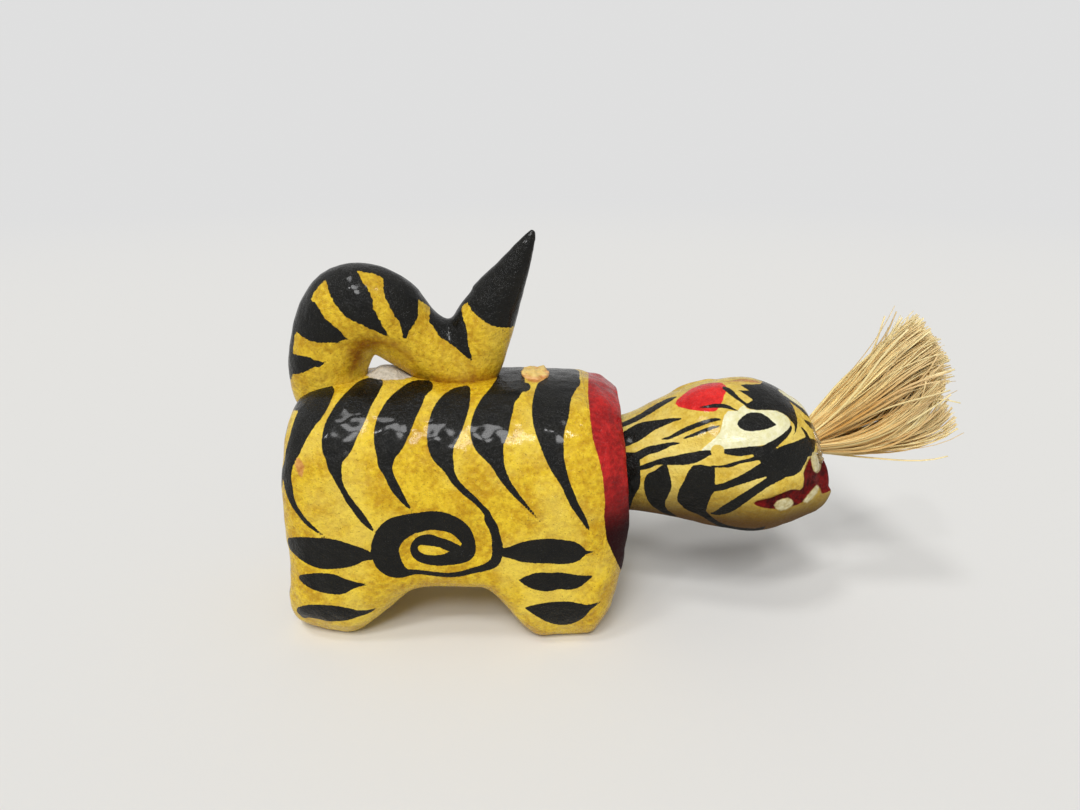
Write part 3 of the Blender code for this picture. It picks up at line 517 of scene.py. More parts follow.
def makeBodySkin():
    form = bodyForm
    section = bodySection()
    profile = bodyProfile()
    rings = form["rings"]
    sides = form["sides"]
    front = int(np.argmax((profile[:, 0] > 0) & (profile[:, 1] < form["cornerSpread"])))
    columns = [frontColumn(profile[front:], *place) for place in section]
    bm = bmesh.new()
    bmesh.ops.create_uvsphere(bm, u_segments=sides, v_segments=rings, radius=1)
    frontPole = []
    for vert in bm.verts:
        ring = ballRing(vert, rings)
        if ring == rings:
            frontPole.append(vert)
            continue
        side = round(math.atan2(vert.co.y, vert.co.x) / (2 * math.pi) * sides) % sides
        if ring < front:
            vert.co = bodyPoint(*profile[ring], *section[side])
        else:
            vert.co = columns[side][ring - front]
    bmesh.ops.delete(bm, geom=frontPole, context="VERTS")
    bmesh.ops.recalc_face_normals(bm, faces=bm.faces)
    addLumps(bm, form)
    addCollarBulges(bm)
    return bm


def cutAway(bm, place, normal):
    # keeps the side that the normal points away from
    geom = bm.verts[:] + bm.edges[:] + bm.faces[:]
    bmesh.ops.bisect_plane(bm, geom=geom, dist=1e-7, plane_co=place, plane_no=normal, clear_outer=True)


def newPiece(name, bm, material, body, slotName, *nodes):
    mesh = bpy.data.meshes.new(name)
    bm.to_mesh(mesh)
    bm.free()
    mesh.shade_smooth()
    mesh.materials.append(material)
    piece = bpy.data.objects.new(name, mesh)
    scene.collection.objects.link(piece)
    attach(piece, body)
    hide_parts(*nodes)
    return piece


def bakeModifiers(piece):
    bpy.context.view_layer.update()
    graph = bpy.context.evaluated_depsgraph_get()
    baked = bpy.data.meshes.new_from_object(piece.evaluated_get(graph))
    old = piece.data
    piece.modifiers.clear()
    piece.data = baked
    bpy.data.meshes.remove(old)
    baked.name = piece.name
    return baked


def giveWall(piece, thickness, painter):
    # paint goes on the outside; the wall then grows inwards, and its vertices follow the outer ones
    points, normals = meshRows(piece.data)
    layers = paintSides(points, normals, painter)
    wall = piece.modifiers.new("wall", "SOLIDIFY")
    wall.thickness = thickness
    wall.offset = -1
    mesh = bakeModifiers(piece)
    layers = {name: np.concatenate([values, values]) for name, values in layers.items()}
    layers["inside"] = np.repeat([0.0, 1.0], len(points))
    return mesh, layers


def backMark(name, xMm, yMm, zMm):
    middle, long, wide, slope, lowest = backMarks[name]
    mark = (np.hypot((xMm - middle) / long, yMm / wide) - 1) * slope
    return np.where(zMm > lowest, mark, farMm)


def paintBody(points, normals, px, py):
    xMm = (points[:, 0] - bodyMiddle) * 1000
    yMm = np.abs(points[:, 1]) * 1000
    zMm = points[:, 2] * 1000
    rear = np.full(px.shape, farMm)
    for course in rumpStrokes.values():
        rear = np.minimum(rear, strokeDistance(yMm, zMm, course))
    share = smoothStep(-normals[:, 0], *bodyForm["rumpTurn"])
    ink = layerDistance(px, py, flankStrokes.values()) * (1 - share) + rear * share
    ink = ink + smoothStep(-normals[:, 2], *bodyForm["bellyTurn"]) * farMm
    red = np.maximum(layerDistance(px, py, patches=[collarPatch]), bodyForm["collarLowMm"] - zMm)
    marks = {name: backMark(name, xMm, yMm, zMm) for name in backMarks}
    marks["orange"] = np.minimum(layerDistance(px, py, [rumpChip]), marks["orange"])
    ink = np.maximum(np.maximum(ink, -marks["orange"]), -red)
    return {"ink": ink, "red": red, **marks}


# tail: an arch down to the back, and an upright tip; forward of the rump, over the back, half depth
tailForm = {
    "arch": [
        (0.0115, -0.0090, 0.0090), (0.0087, 0.0000, 0.0088), (0.0107, 0.0082, 0.0095),
        (0.0153, 0.0144, 0.0105), (0.0222, 0.0136, 0.0097), (0.0281, 0.0089, 0.0079),
        (0.0338, 0.0048, 0.0076), (0.0384, 0.0008, 0.0074), (0.0415, -0.0020, 0.0072),
    ],
    "tip": [
        (0.0397, -0.0010, 0.0071), (0.0419, 0.0055, 0.0075), (0.0444, 0.0115, 0.0070),
        (0.0471, 0.0170, 0.0058), (0.0500, 0.0220, 0.0042), (0.0527, 0.0270, 0.0026),
        (0.0549, 0.0310, 0.0012), (0.0556, 0.0323, 0.0006),
    ],
    "widthShare": 0.78,
    "sides": 64,
    "rings": 90,
    "courseSteps": 40,
    "voxel": 0.00042,
    "smoothing": 6,
    "smoothShare": 0.5,
    "notch": (0.0365, 0.0135),  # where the arch and the tip run together
    "notchReach": 0.0085,
    "notchSmoothing": 60,
    "raggedSize": 0.0007,
    "raggedPixels": 1.3,
    "raggedSeed": 5,
    "landingFrom": 0.026,  # glue and painted shade where the tail meets the back, forward of the rump
    "landingScale": 24,
    "landingMm": 1.1,
    "shadeInMm": 0.6,
    "sunkShare": 0.955,  # what lies deeper in the back than this is cut off
    "lumpSize": 0.006,
    "lumpHeight": 0.00022,
    "dimpleSize": 0.0022,
    "dimpleHeight": 0.00008,
    "seed": (0.9, 0.2, 0.4),
}

tailStrokes = {
    "spine": [
        (286, 376, 6), (286.5, 353, 6), (290, 331, 6), (298, 308, 8), (311, 283, 8), (330, 267, 8),
        (350, 261, 10), (368, 264, 8.5), (385, 270, 8), (405, 284, 8), (425, 296.5, 6), (440, 306, 7),
        (450, 306, 7), (461, 299.5, 6), (470, 292, 8),
    ],
}

# painted shade: brown in the hollow of the tail's loop, where the loop shades itself
tailShades = {
    "web": [
        (352, 372, 5), (356, 360, 9), (358, 348, 10), (370, 343, 8), (386, 343, 6), (400, 350, 5),
        (414, 362, 3),
    ],
}

tailPatches = {
    "lowRib": [
        (280, 356), (292.5, 353.5), (300, 355.5), (308, 357), (314, 359.5), (322, 361.5), (327, 361),
        (323, 365.5), (314, 367.5), (306, 371), (299, 374), (290, 374.5), (280, 374),
    ],
    "secondRib": [
        (293, 331), (296, 331), (299, 334), (304, 338), (310, 341), (318, 342.5), (330, 343),
        (344, 343), (338, 340.5), (350, 340), (344, 336.5), (341, 331.5), (335, 326.5), (328, 321),
        (324, 317), (321, 312), (320, 308.5), (314, 302), (309, 297), (300, 295),
    ],
    "thirdRib": [
        (318, 274), (326, 280), (328, 288), (331, 297), (335, 304), (340, 311), (347, 318), (356, 322),
        (366, 327), (377, 332), (390, 336.5), (385, 330.5), (380, 321), (374, 310), (372, 299),
        (370, 293), (364, 284), (360, 276), (357, 271), (355, 258), (335, 256),
    ],
    "fourthRib": [
        (383, 262), (383, 275), (383, 290), (385, 298), (389, 305), (393, 314), (400, 322),
        (401.5, 330), (403, 338), (406, 339), (408, 333), (412, 327), (418, 318), (418, 299),
        (420, 288), (400, 270),
    ],
    "fifthRib": [
        (430, 305), (430, 312), (429, 322), (433, 326), (440, 337), (447, 341), (455, 347),
        (461, 352.5), (468, 358), (472.5, 361.7), (470, 351), (468, 342), (467, 332), (466, 325),
        (463, 318), (461, 307), (458, 298), (446, 300), (434, 296),
    ],
    "tip": [
        (467, 301.5), (470, 308), (474, 313), (479, 317.5), (485, 322), (490, 325), (497, 327),
        (505, 327.7), (511, 327.7), (518, 324), (530, 320), (545, 300), (550, 225), (520, 225),
        (460, 290),
    ],
}


def bodyDepthShare(points):
    # 1 on the body's upper surface, less inside it
    form = bodyForm
    x = np.abs(points[:, 0] - bodyMiddle) / (form["length"] / 2)
    y = np.abs(points[:, 1]) / (form["width"] / 2)
    z = np.maximum(points[:, 2] - form["flank"], 0) / (form["back"] - form["flank"])
    section = (y ** form["backSquareness"] + z ** form["backSquareness"]) ** (1 / form["backSquareness"])
    return (x ** form["endSquareness"] + section ** form["endSquareness"]) ** (1 / form["endSquareness"])


def addTube(bm, course):
    # a closed tube along a course in the middle plane
    form = tailForm
    rings = form["rings"]
    sides = form["sides"]
    fine = smoothCourse(course, form["courseSteps"])
    rows = evenRows(fine, np.hypot(np.diff(fine[:, 0]), np.diff(fine[:, 1])), rings - 1)
    ball = bmesh.ops.create_uvsphere(bm, u_segments=sides, v_segments=rings, radius=1)
    for vert in ball["verts"]:
        ring = ballRing(vert, rings)
        turn = math.atan2(vert.co.y, vert.co.x)
        row = rows[min(max(ring - 1, 0), rings - 2)]
        after = rows[min(ring, rings - 2)]
        before = rows[max(min(ring, rings - 2) - 1, 0)]
        ahead = Vector((after[0] - before[0], 0, after[1] - before[1])).normalized()
        outward = Vector((-ahead.z, 0, ahead.x))
        depth = 0 if ring in (0, rings) else row[2]
        middle = Vector((rumpX + row[0], 0, bodyForm["back"] + row[1]))
        swing = outward * depth * math.cos(turn)
        vert.co = middle + swing + Vector((0, depth * form["widthShare"] * math.sin(turn), 0))


def paintTail(points, normals, px, py):
    # a dry brush leaves ragged edges
    form = tailForm
    noise.seed_set(form["raggedSeed"])
    ragged = np.array([noise.noise_vector(Vector(point) / form["raggedSize"]) for point in points])
    rough = form["raggedPixels"] * ragged
    ink = layerDistance(px + rough[:, 0], py + rough[:, 2], tailStrokes.values(), tailPatches.values())
    # painted shade: brown glue and shade where the tail sinks into the back, and brown shade in the hollow
    # of the loop
    landing = (bodyDepthShare(points) - 1.0) * form["landingScale"] - form["landingMm"]
    landing = np.where(points[:, 0] > rumpX + form["landingFrom"], landing, farMm)
    web = layerDistance(px, py, tailShades.values()) + form["shadeInMm"]
    return {"ink": ink, "glueAndShade": np.minimum(landing, web)}


def makeTail(material):
    form = tailForm
    bm = bmesh.new()
    addTube(bm, form["arch"])
    addTube(bm, form["tip"])
    bmesh.ops.remove_doubles(bm, verts=bm.verts, dist=1e-6)
    bmesh.ops.recalc_face_normals(bm, faces=bm.faces)
    tail = newPiece("tailSkin", bm, material, "body", "yellow_lacquer", "tail_shell")
    join = tail.modifiers.new("join", "REMESH")
    join.mode = "VOXEL"
    join.voxel_size = form["voxel"]
    soften = tail.modifiers.new("soften", "SMOOTH")
    soften.iterations = form["smoothing"]
    soften.factor = form["smoothShare"]
    mesh = bakeModifiers(tail)
    bm = bmesh.new()
    bm.from_mesh(mesh)
    notch = Vector((rumpX + form["notch"][0], 0, bodyForm["back"] + form["notch"][1]))
    creased = [vert for vert in bm.verts if (vert.co - notch).length < form["notchReach"]]
    axes = {"use_axis_x": True, "use_axis_y": True, "use_axis_z": True}
    for _ in range(form["notchSmoothing"]):
        bmesh.ops.smooth_vert(bm, verts=creased, factor=form["smoothShare"], **axes)
    addLumps(bm, form)
    points = np.array([vert.co for vert in bm.verts])
    deep = bodyDepthShare(points) < form["sunkShare"]
    bmesh.ops.delete(bm, geom=[vert for vert, sunk in zip(bm.verts, deep) if sunk], context="VERTS")
    bmesh.ops.holes_fill(bm, edges=[edge for edge in bm.edges if edge.is_boundary], sides=0)
    bmesh.ops.triangulate(bm, faces=[face for face in bm.faces if len(face.verts) > 4])
    bm.to_mesh(mesh)
    bm.free()
    mesh.shade_smooth()
    setPaint(mesh, paintSides(*meshRows(mesh), paintTail))
    return tail


# head: forward of the body's front, above the mouth's middle, half width, half height
headForm = {
    "teethAside": 0.0034,  # no tooth nearer to the middle than this
    "stations": [
        (0.0488, -0.0033, 0.0000, 0.0000), (0.0472, -0.0041, 0.0064, 0.0052),
        (0.0440, -0.0044, 0.0098, 0.0074), (0.0411, -0.0001, 0.0126, 0.0130),
        (0.0370, 0.0010, 0.0150, 0.0156), (0.0323, 0.0015, 0.0168, 0.0176),
        (0.0264, 0.0019, 0.0174, 0.0181), (0.0164, 0.0021, 0.0158, 0.0163),
        (0.0077, 0.0013, 0.0134, 0.0137), (-0.0006, -0.0002, 0.0113, 0.0113),
        (-0.0121, -0.0005, 0.0107, 0.0107),
    ],
    "wall": 0.0014,
    "sides": 320,
    "rings": 230,
    "courseSteps": 60,
    "crestNear": 0.004,  # lines on the crest stay this near to the middle
    "crestFar": -0.002,
    "reliefs": (("red", 0.0005, 1.8), ("mouth", -0.0008, 0.7), ("eye", 0.00030, 1.5)),  # height, fade in mm
    "reliefEdge": -0.3,
    "lumpSize": 0.007,
    "lumpHeight": 0.00028,
    "dimpleSize": 0.0022,
    "dimpleHeight": 0.00007,
    "seed": (0.5, 0.8, 0.2),
}

headStrokes = {
    "neckHigh": [
        (616, 427, 2.8), (625, 423.7, 2.4), (633, 420.3, 2.6), (642, 415.5, 2.6), (652, 409.5, 2.8),
        (662, 403.5, 2.4), (670, 399.5, 1.8), (677, 396.7, 0.4),
    ],
    "neckThick": [
        (615, 443.5, 6.5), (626, 439, 7.3), (634, 434.5, 8), (642, 430, 7.4), (650, 426.5, 5.6),
        (658, 424, 4.1), (666, 421.8, 3), (673, 420, 2), (681, 418.8, 0.8),
    ],
    "neckThird": [
        (636, 457, 4.2), (648, 450.7, 4), (656, 448.8, 3.8), (664, 446.3, 3), (672, 443.8, 1.8),
        (679, 443.3, 0.8),
    ],
    "cheekHigh": [
        (662, 439.3, 0.8), (669, 437.8, 1.5), (676, 434.5, 2), (684, 430.4, 2.3), (692, 427, 2.5),
        (700, 424, 2.3), (708, 421.3, 2), (716, 419.5, 1.6), (721, 419.6, 0.6),
    ],
    "cheekLow": [
        (684, 438.2, 0.8), (691, 435.7, 1.5), (698, 433, 1.8), (706, 430, 1.8), (713, 427.6, 1.5),
        (720, 426, 0.8),
    ],
    "underEye": [
        (638, 469, 2), (648, 465.8, 2.8), (656, 462.7, 2.5), (664, 461.2, 3.6), (674, 460.4, 4.6),
        (684, 459.4, 5.6), (693, 457.7, 5.6), (701, 455.2, 4.6), (708, 453, 2.9), (712, 452.5, 2.4),
    ],
    "underEyeFront": [
        (725, 451.5, 2.4), (733, 452, 3.6), (742, 451.8, 4.3), (752, 450.5, 4.2), (762, 450.5, 4.8),
        (772, 445.5, 4), (779, 440.5, 3.2), (785, 435.5, 2.8), (790, 429.5, 1.8), (791, 426, 0.8),
    ],
    "earLine": [
        (700, 407.6, 0.5), (706, 406.7, 1.3), (713, 406, 2), (720, 405.7, 2), (727, 406.7, 1.9),
        (733, 409, 1), (738, 411, 0.3),
    ],
    "earFront": [(724, 388, 1.6), (730, 391.5, 2.6), (735, 396, 2), (740, 400, 1.5), (746, 404.5, 1.3)],
    "whiskerHigh": [
        (768, 456, 5), (758, 457.5, 2.8), (750, 460, 1.8), (740, 462, 1.7), (730, 465.3, 2),
        (722, 466.5, 1.2), (712, 466.5, 1),
    ],
    "whiskerThick": [
        (774, 465, 8), (762, 470.5, 7), (752, 475, 5.5), (743, 479.2, 4.5), (733, 483, 3.8),
        (723, 486.7, 3.5), (712, 488.5, 3.4),
    ],
    "whiskerLong": [
        (780, 474, 6), (768, 482, 4.2), (759, 488, 4.2), (750, 494, 4.4), (741, 500, 4.8),
        (732, 506, 5), (724, 510, 4.2), (716, 513, 2), (711, 513.3, 0.7),
    ],
    "ridge": [(785, 396.5, 1), (792, 402, 1.2), (800, 408, 1.3), (808, 415, 1.4), (815, 421, 1.4)],
    "noseWedge": [(804, 419.5, 0.4), (808, 423, 1.6), (813, 427, 2.4)],
    "noseSide": [(801, 427, 0.5), (805, 432, 1.3), (808, 438, 1.5)],
}

headPatches = {
    "neckBand": [
        (600, 452), (624, 452), (636, 452.5), (640, 455), (640, 465), (640.5, 475), (640.5, 483),
        (639, 489), (636, 493), (633, 499), (631, 505), (628, 514), (600, 514),
    ],
    "brow": [
        (740, 385), (746, 384), (752, 384.5), (760, 384), (764, 381), (770, 379), (784, 386),
        (781, 391), (784, 396), (788, 400), (792, 405), (795, 411), (797, 418), (797.5, 425),
        (796, 432), (792, 437.5), (794, 433), (795, 428), (794, 424), (791, 421), (788, 417),
        (783, 413.5), (776, 410.5), (766, 410), (757, 410), (750, 409), (746, 407), (745, 404.5),
        (749, 402.5), (753, 400), (748, 396), (743, 393), (738, 390), (744, 390.5), (749, 390.5),
        (745, 388),
    ],
    "pupil": [
        (737, 424), (739, 420), (743, 416.5), (747, 413.5), (751, 412.5), (757, 412.3), (763, 414),
        (769, 418), (773, 422), (777, 424.7), (772, 427), (767, 429), (760, 430.5), (752, 431.3),
        (745, 430.7), (740, 428),
    ],
    "muzzle": [
        (756, 452), (766, 451.5), (774, 449.5), (780, 447), (786, 444.5), (793, 442.5), (799, 440),
        (806, 437), (816, 440), (814, 455), (808, 457), (806, 462), (803, 467), (801, 470.5),
        (797, 474), (793, 476), (787, 477), (782, 478), (778, 480.5), (774, 484), (770, 485.5),
        (764, 470),
    ],
    "cheekLarge": [
        (694, 465), (700, 464.5), (706, 465.5), (715, 467), (715, 478), (715, 491), (711, 496),
        (709.5, 500), (708, 504), (706, 511), (712, 517), (719, 522), (727, 525), (736, 527),
        (745, 528), (755, 528.5), (766, 526), (763, 529.5), (755, 532), (745, 533), (735, 532),
        (727, 530), (721, 527.5), (716, 525), (711, 522), (706, 519), (702, 516.5), (697, 514),
        (693, 512.5), (688, 510.5), (684, 508), (681, 505), (678, 502), (677, 499), (677.5, 495),
        (679, 490), (681, 486), (684, 481), (686, 476), (688.5, 471), (692, 466.5),
    ],
    "cheekSmall": [
        (662, 465.5), (665, 463), (668, 467), (669, 472), (670.5, 478), (671.5, 483), (671.5, 488),
        (670, 492), (668, 496), (666, 499.5), (665, 503), (665.5, 507), (668, 510.5), (672, 513),
        (678, 516.5), (670, 515.5), (664, 513.5), (658, 510), (652, 506), (648, 501), (645.5, 495),
        (644, 489), (644, 483), (645, 478), (647, 474.5), (651, 472), (655, 470.5), (658, 468),
    ],
}

headReds = {
    "ear": [
        (675.5, 404), (677, 400), (680, 397), (684, 394), (689, 390), (695, 387), (702, 384.5),
        (708, 383), (715, 382.5), (721, 382.5), (725, 385), (727, 388), (726, 392), (724, 396),
        (723, 400), (720, 406), (717, 410), (714, 411.5), (708, 411.7), (700, 411), (692, 410),
        (685, 408.5), (679, 407),
    ],
}

headMouth = {
    "gape": [
        (753, 503), (757, 501), (763, 499.5), (770, 498), (775, 496), (780, 494), (786, 491.5),
        (791, 489.5), (796, 489.5), (800, 490), (803, 487), (804, 480), (803.5, 473), (806, 466),
        (808, 461), (810, 457), (812, 453), (826, 450), (840, 456), (840, 484), (828, 492), (822, 494),
        (820, 488), (817.5, 485.5), (813, 489.5), (808, 496), (803, 502), (797, 505), (790, 507),
        (780, 509), (768, 508.5), (762, 507.5), (757, 506),
    ],
}

headTeeth = {
    "upper": [
        (811, 457), (813, 452), (817, 452), (820, 459), (821, 465), (820, 470), (817, 473), (814, 471),
        (812.5, 467), (811.5, 461),
    ],
    "rear": [
        (774, 505), (777, 501.5), (782, 499), (788, 498), (792, 500), (793.5, 503), (791, 507),
        (786, 509.5), (781, 510.5), (776, 508.5),
    ],
    "lower": [
        (819, 487), (817, 485), (813, 489), (808, 495), (803, 501.5), (807, 503), (812, 499),
        (817, 493),
    ],
}

headCreams = {
    "eye": [
        (745, 404.5), (746, 408), (750, 409.5), (757, 410), (766, 410), (776, 410.5), (783, 413.5),
        (788, 417.5), (790.5, 422), (790, 427), (786, 432), (780, 436.5), (774, 440.5), (767, 444.5),
        (757, 446), (745, 447.3), (730, 448.7), (722, 450), (710, 450.2), (700, 450.8), (708, 444),
        (715, 438), (720, 432), (722, 424), (724, 416), (728, 411), (737, 411), (741, 407),
    ],
}

headCreamStrokes = {
    "ridge": [(779, 390, 0.8), (790, 397.5, 1.6), (800, 405, 1.6), (809, 412.5, 1.6), (817, 419, 1.4)],
}

headOrangeStrokes = {
    "crown": [(712, 381.5, 0.8), (728, 380, 1.8), (742, 379, 2.6), (752, 380, 2.3), (764, 383, 0.8)],
}

yellowDot = [(717, 450.8, 6.2), (718, 450.8, 6.2)]


def paintHead(points, normals, px, py):
    form = headForm
    aside = np.abs(points[:, 1])
    dot = layerDistance(px, py, [yellowDot])
    red = layerDistance(px, py, patches=headReds.values())
    teeth = layerDistance(px, py, patches=headTeeth.values())
    teeth = np.maximum(teeth, (form["teethAside"] - aside) * 1000)
    mouth = np.maximum(layerDistance(px, py, patches=headMouth.values()), -teeth)
    eye = layerDistance(px, py, patches=headCreams.values())
    beyond = (aside - np.where(normals[:, 1] > 0, form["crestFar"], form["crestNear"])) * 1000
    lines = np.maximum(layerDistance(px, py, headCreamStrokes.values()), beyond)
    orange = np.maximum(layerDistance(px, py, headOrangeStrokes.values()), beyond)
    cream = np.maximum(np.minimum(eye, lines), -dot)
    ink = np.maximum(layerDistance(px, py, headStrokes.values(), headPatches.values()), -dot)
    ink = np.maximum(ink, -np.minimum(lines, teeth))
    layers = {"ink": ink, "red": red, "mouth": mouth, "cream": cream, "teeth": teeth, "orange": orange}
    return {**layers, "eye": eye}


def makeHeadSkin():
    form = headForm
    rings = form["rings"]
    sides = form["sides"]
    fine = smoothCourse(form["stations"], form["courseSteps"])
    rows = evenRows(fine, np.hypot(np.diff(fine[:, 0]), np.diff(fine[:, 3])), rings)
    bm = bmesh.new()
    bmesh.ops.create_uvsphere(bm, u_segments=sides, v_segments=rings, radius=1)
    neckPole = []
    for vert in bm.verts:
        ring = rings - ballRing(vert, rings)
        if ring == rings:
            neckPole.append(vert)
            continue
        ahead, rise, wide, tall = rows[ring]
        turn = math.atan2(vert.co.y, vert.co.x)
        place = Vector((0, wide * math.sin(turn), tall * math.cos(turn)))
        vert.co = place + Vector((frontX + ahead, 0, bodyForm["mouthHeight"] + rise))
    bmesh.ops.delete(bm, geom=neckPole, context="VERTS")
    bmesh.ops.recalc_face_normals(bm, faces=bm.faces)
    bm.normal_update()
    points = np.array([vert.co for vert in bm.verts])
    normals = np.array([vert.normal for vert in bm.verts])
    layers = paintSides(points, normals, paintHead)
    relief = np.zeros(len(points))
    for name, height, fade in form["reliefs"]:
        relief += height * smoothStep(-layers[name], form["reliefEdge"], fade)
    for vert, height in zip(bm.verts, relief):
        vert.co += vert.normal * float(height)
    addLumps(bm, form)
    return bm


# whisker tuft: cut plant fibres glued to the nose, lying together in locks
tuftForm = {
    "root": (0.0441, -0.0012, 0.0068),  # forward of the body's front, aside, above the mouth's middle
    "lean": math.radians(24),
    "rootRadius": 0.0031,
    "sunk": 0.0022,
    "lattice": 38,
    "segments": 11,
    "drawSeed": 7,
    "locks": 17,
    "lockReach": 0.86,
    "lockPull": 0.66,
    "lockStart": 3,  # what one lock turns by, in degrees, and what one fibre in it turns by
    "startSpread": 3,
    "lockEnd": 7,
    "endSpread": 11,
    "lockFan": 3,
    "fanSpread": 3,
    "lockLength": 0.0006,
    "lengthSpread": 0.0020,
    "sideShort": 0.07,
    "wave": 0.0007,
    "waveLeast": 0.2,
    "waveTurns": 5,
    "lockWave": 0.0013,
    "lockWaveTurns": 4.5,
    "lockPhases": (3, 5),
    "waveAside": 0.6,
    "fanWide": math.radians(11),
    "strandWide": 0.00042,
    "wideRange": (0.55, 1.3),
    "strandFlat": 0.30,
    "taper": 0.30,
    "shadeSpread": 0.32,
    "lockShade": 0.22,
    "strays": 0.09,
    "strayEnd": 30,
    "strayFan": 8,
    "strayLength": (-0.004, 0.0015),
}

# from the lowest fibres to the highest: share, start and end angle in degrees, how late they bend, length
tuftCourses = (
    (0.00, -11, 62, 1.8, 0.0348),
    (0.20, 3, 66, 1.6, 0.0342),
    (0.40, 15, 66, 1.5, 0.0342),
    (0.50, 25, 56, 1.3, 0.0344),
    (0.56, 38, 34, 1.0, 0.0358),
    (0.75, 48, 42, 1.0, 0.0356),
    (1.00, 58, 47, 1.0, 0.0352),
)


def makeLocks(draw):
    # root place in the unit disc, then how far the lock strays in angle, tip angle, fan, length and shade
    locks = []
    for number in range(tuftForm["locks"]):
        reach = tuftForm["lockReach"] * math.sqrt((number + 0.5) / tuftForm["locks"])
        turn = number * math.pi * (3 - math.sqrt(5))
        stray = [draw.uniform(-1, 1) for _ in range(5)]
        locks.append((reach * math.cos(turn), reach * math.sin(turn), *stray))
    return locks


def strandPath(across, up, lock, draw):
    # places and angles along one fibre
    form = tuftForm

    def drawn(size):
        return draw.uniform(-size, size)

    share = min(max((up + 1) / 2, 0), 1)
    places, *settings = zip(*tuftCourses)
    start, end, late, length = (float(np.interp(share, places, row)) for row in settings)
    start = math.radians(start + form["lockStart"] * lock[2] + drawn(form["startSpread"]))
    end = math.radians(end + form["lockEnd"] * lock[3] + drawn(form["endSpread"]))
    wide = form["fanWide"] * across + math.radians(form["lockFan"] * lock[4] + drawn(form["fanSpread"]))
    length *= 1 - form["sideShort"] * abs(across)
    length += form["lockLength"] * lock[5] - form["lengthSpread"] * draw.random() ** 2
    if draw.random() < form["strays"]:
        end += math.radians(drawn(form["strayEnd"]))
        wide += math.radians(drawn(form["strayFan"]))
        length += draw.uniform(*form["strayLength"])
    phase = draw.uniform(0, 2 * math.pi)
    wave = form["wave"] * draw.uniform(form["waveLeast"], 1)
    lockPhase = form["lockPhases"][0] * lock[2] + form["lockPhases"][1] * lock[4]
    place = Vector((0, 0, 0))
    path = [(place.copy(), start)]
    for segment in range(form["segments"]):
        reached = (segment + 0.5) / form["segments"]
        turn = start + (end - start) * reached**late
        step = Vector((math.cos(turn) * math.cos(wide), math.sin(wide), math.sin(turn) * math.cos(wide)))
        place = place + step * length / form["segments"]
        swing = wave * reached * math.sin(phase + form["waveTurns"] * reached)
        swing += form["lockWave"] * reached * math.sin(lockPhase + form["lockWaveTurns"] * reached)
        path.append((place + Vector((-math.sin(turn), form["waveAside"], math.cos(turn))) * swing, turn))
    return path


def strandCorners(half, turn):
    # a flat fibre's four corners, turned about its length
    corners = []
    for wideSign, flatSign in ((1, 1), (-1, 1), (-1, -1), (1, -1)):
        wide = half * wideSign
        flat = half * tuftForm["strandFlat"] * flatSign
        sideways = wide * math.cos(turn) - flat * math.sin(turn)
        corners.append((sideways, wide * math.sin(turn) + flat * math.cos(turn)))
    return corners


def makeTuft(material):
    form = tuftForm
    draw = random.Random(form["drawSeed"])
    locks = makeLocks(draw)
    bm = bmesh.new()
    strandLayer = bm.faces.layers.int.new("strand")
    shadeLayer = bm.verts.layers.float.new("shade")
    alongLayer = bm.verts.layers.float.new("along")
    cells = form["lattice"]
    bmesh.ops.create_grid(bm, x_segments=cells, y_segments=cells, size=form["rootRadius"])
    outside = [face for face in bm.faces if face.calc_center_median().length > form["rootRadius"]]
    bmesh.ops.delete(bm, geom=outside, context="FACES")
    bmesh.ops.split_edges(bm, edges=bm.edges)
    axis = Vector((math.cos(form["lean"]), 0, math.sin(form["lean"])))
    rise = Vector((-math.sin(form["lean"]), 0, math.cos(form["lean"])))
    root = Vector((frontX, 0, bodyForm["mouthHeight"])) + Vector(form["root"]) - axis * form["sunk"]
    paths = []
    corners = []
    roots = []
    for number, face in enumerate(bm.faces):
        face[strandLayer] = number + 1
        middle = face.calc_center_median() / form["rootRadius"]
        lock = min(locks, key=lambda row: (row[0] - middle.x) ** 2 + (row[1] - middle.y) ** 2)
        across = middle.x + form["lockPull"] * (lock[0] - middle.x)
        up = middle.y + form["lockPull"] * (lock[1] - middle.y)
        paths.append(strandPath(across, up, lock, draw))
        start = root + (Vector((0, middle.x, 0)) + rise * middle.y) * form["rootRadius"]
        roots.append(start)
        shade = 0.5 + form["shadeSpread"] * draw.uniform(-1, 1) + form["lockShade"] * lock[6]
        half = form["strandWide"] / 2 * draw.uniform(*form["wideRange"])
        turn = draw.uniform(0, math.pi)
        corners.append(strandCorners(half, turn))
        for vert, (sideways, upward) in zip(face.verts, corners[-1]):
            vert.co = start + Vector((0, sideways, 0)) + rise * upward
            vert[shadeLayer] = shade
    for segment in range(1, form["segments"] + 1):
        share = segment / form["segments"]
        tips = [face for face in bm.faces if face[strandLayer] > 0]
        made = bmesh.ops.extrude_discrete_faces(bm, faces=tips)["faces"]
        kept = set(made)
        for face in bm.faces:
            if face not in kept:
                face[strandLayer] = 0
        for face in made:
            number = face[strandLayer] - 1
            place, turn = paths[number][segment]
            across = Vector((-math.sin(turn), 0, math.cos(turn)))
            size = 1 - form["taper"] * share**3
            for vert, (sideways, upward) in zip(face.verts, corners[number]):
                vert.co = roots[number] + place + (Vector((0, sideways, 0)) + across * upward) * size
                vert[alongLayer] = share
    bmesh.ops.recalc_face_normals(bm, faces=bm.faces)
    print("tuft has", len(roots), "fibres")
    return newPiece("whiskerTuft", bm, material, "head", "plant_fibre", "whisker_tuft")


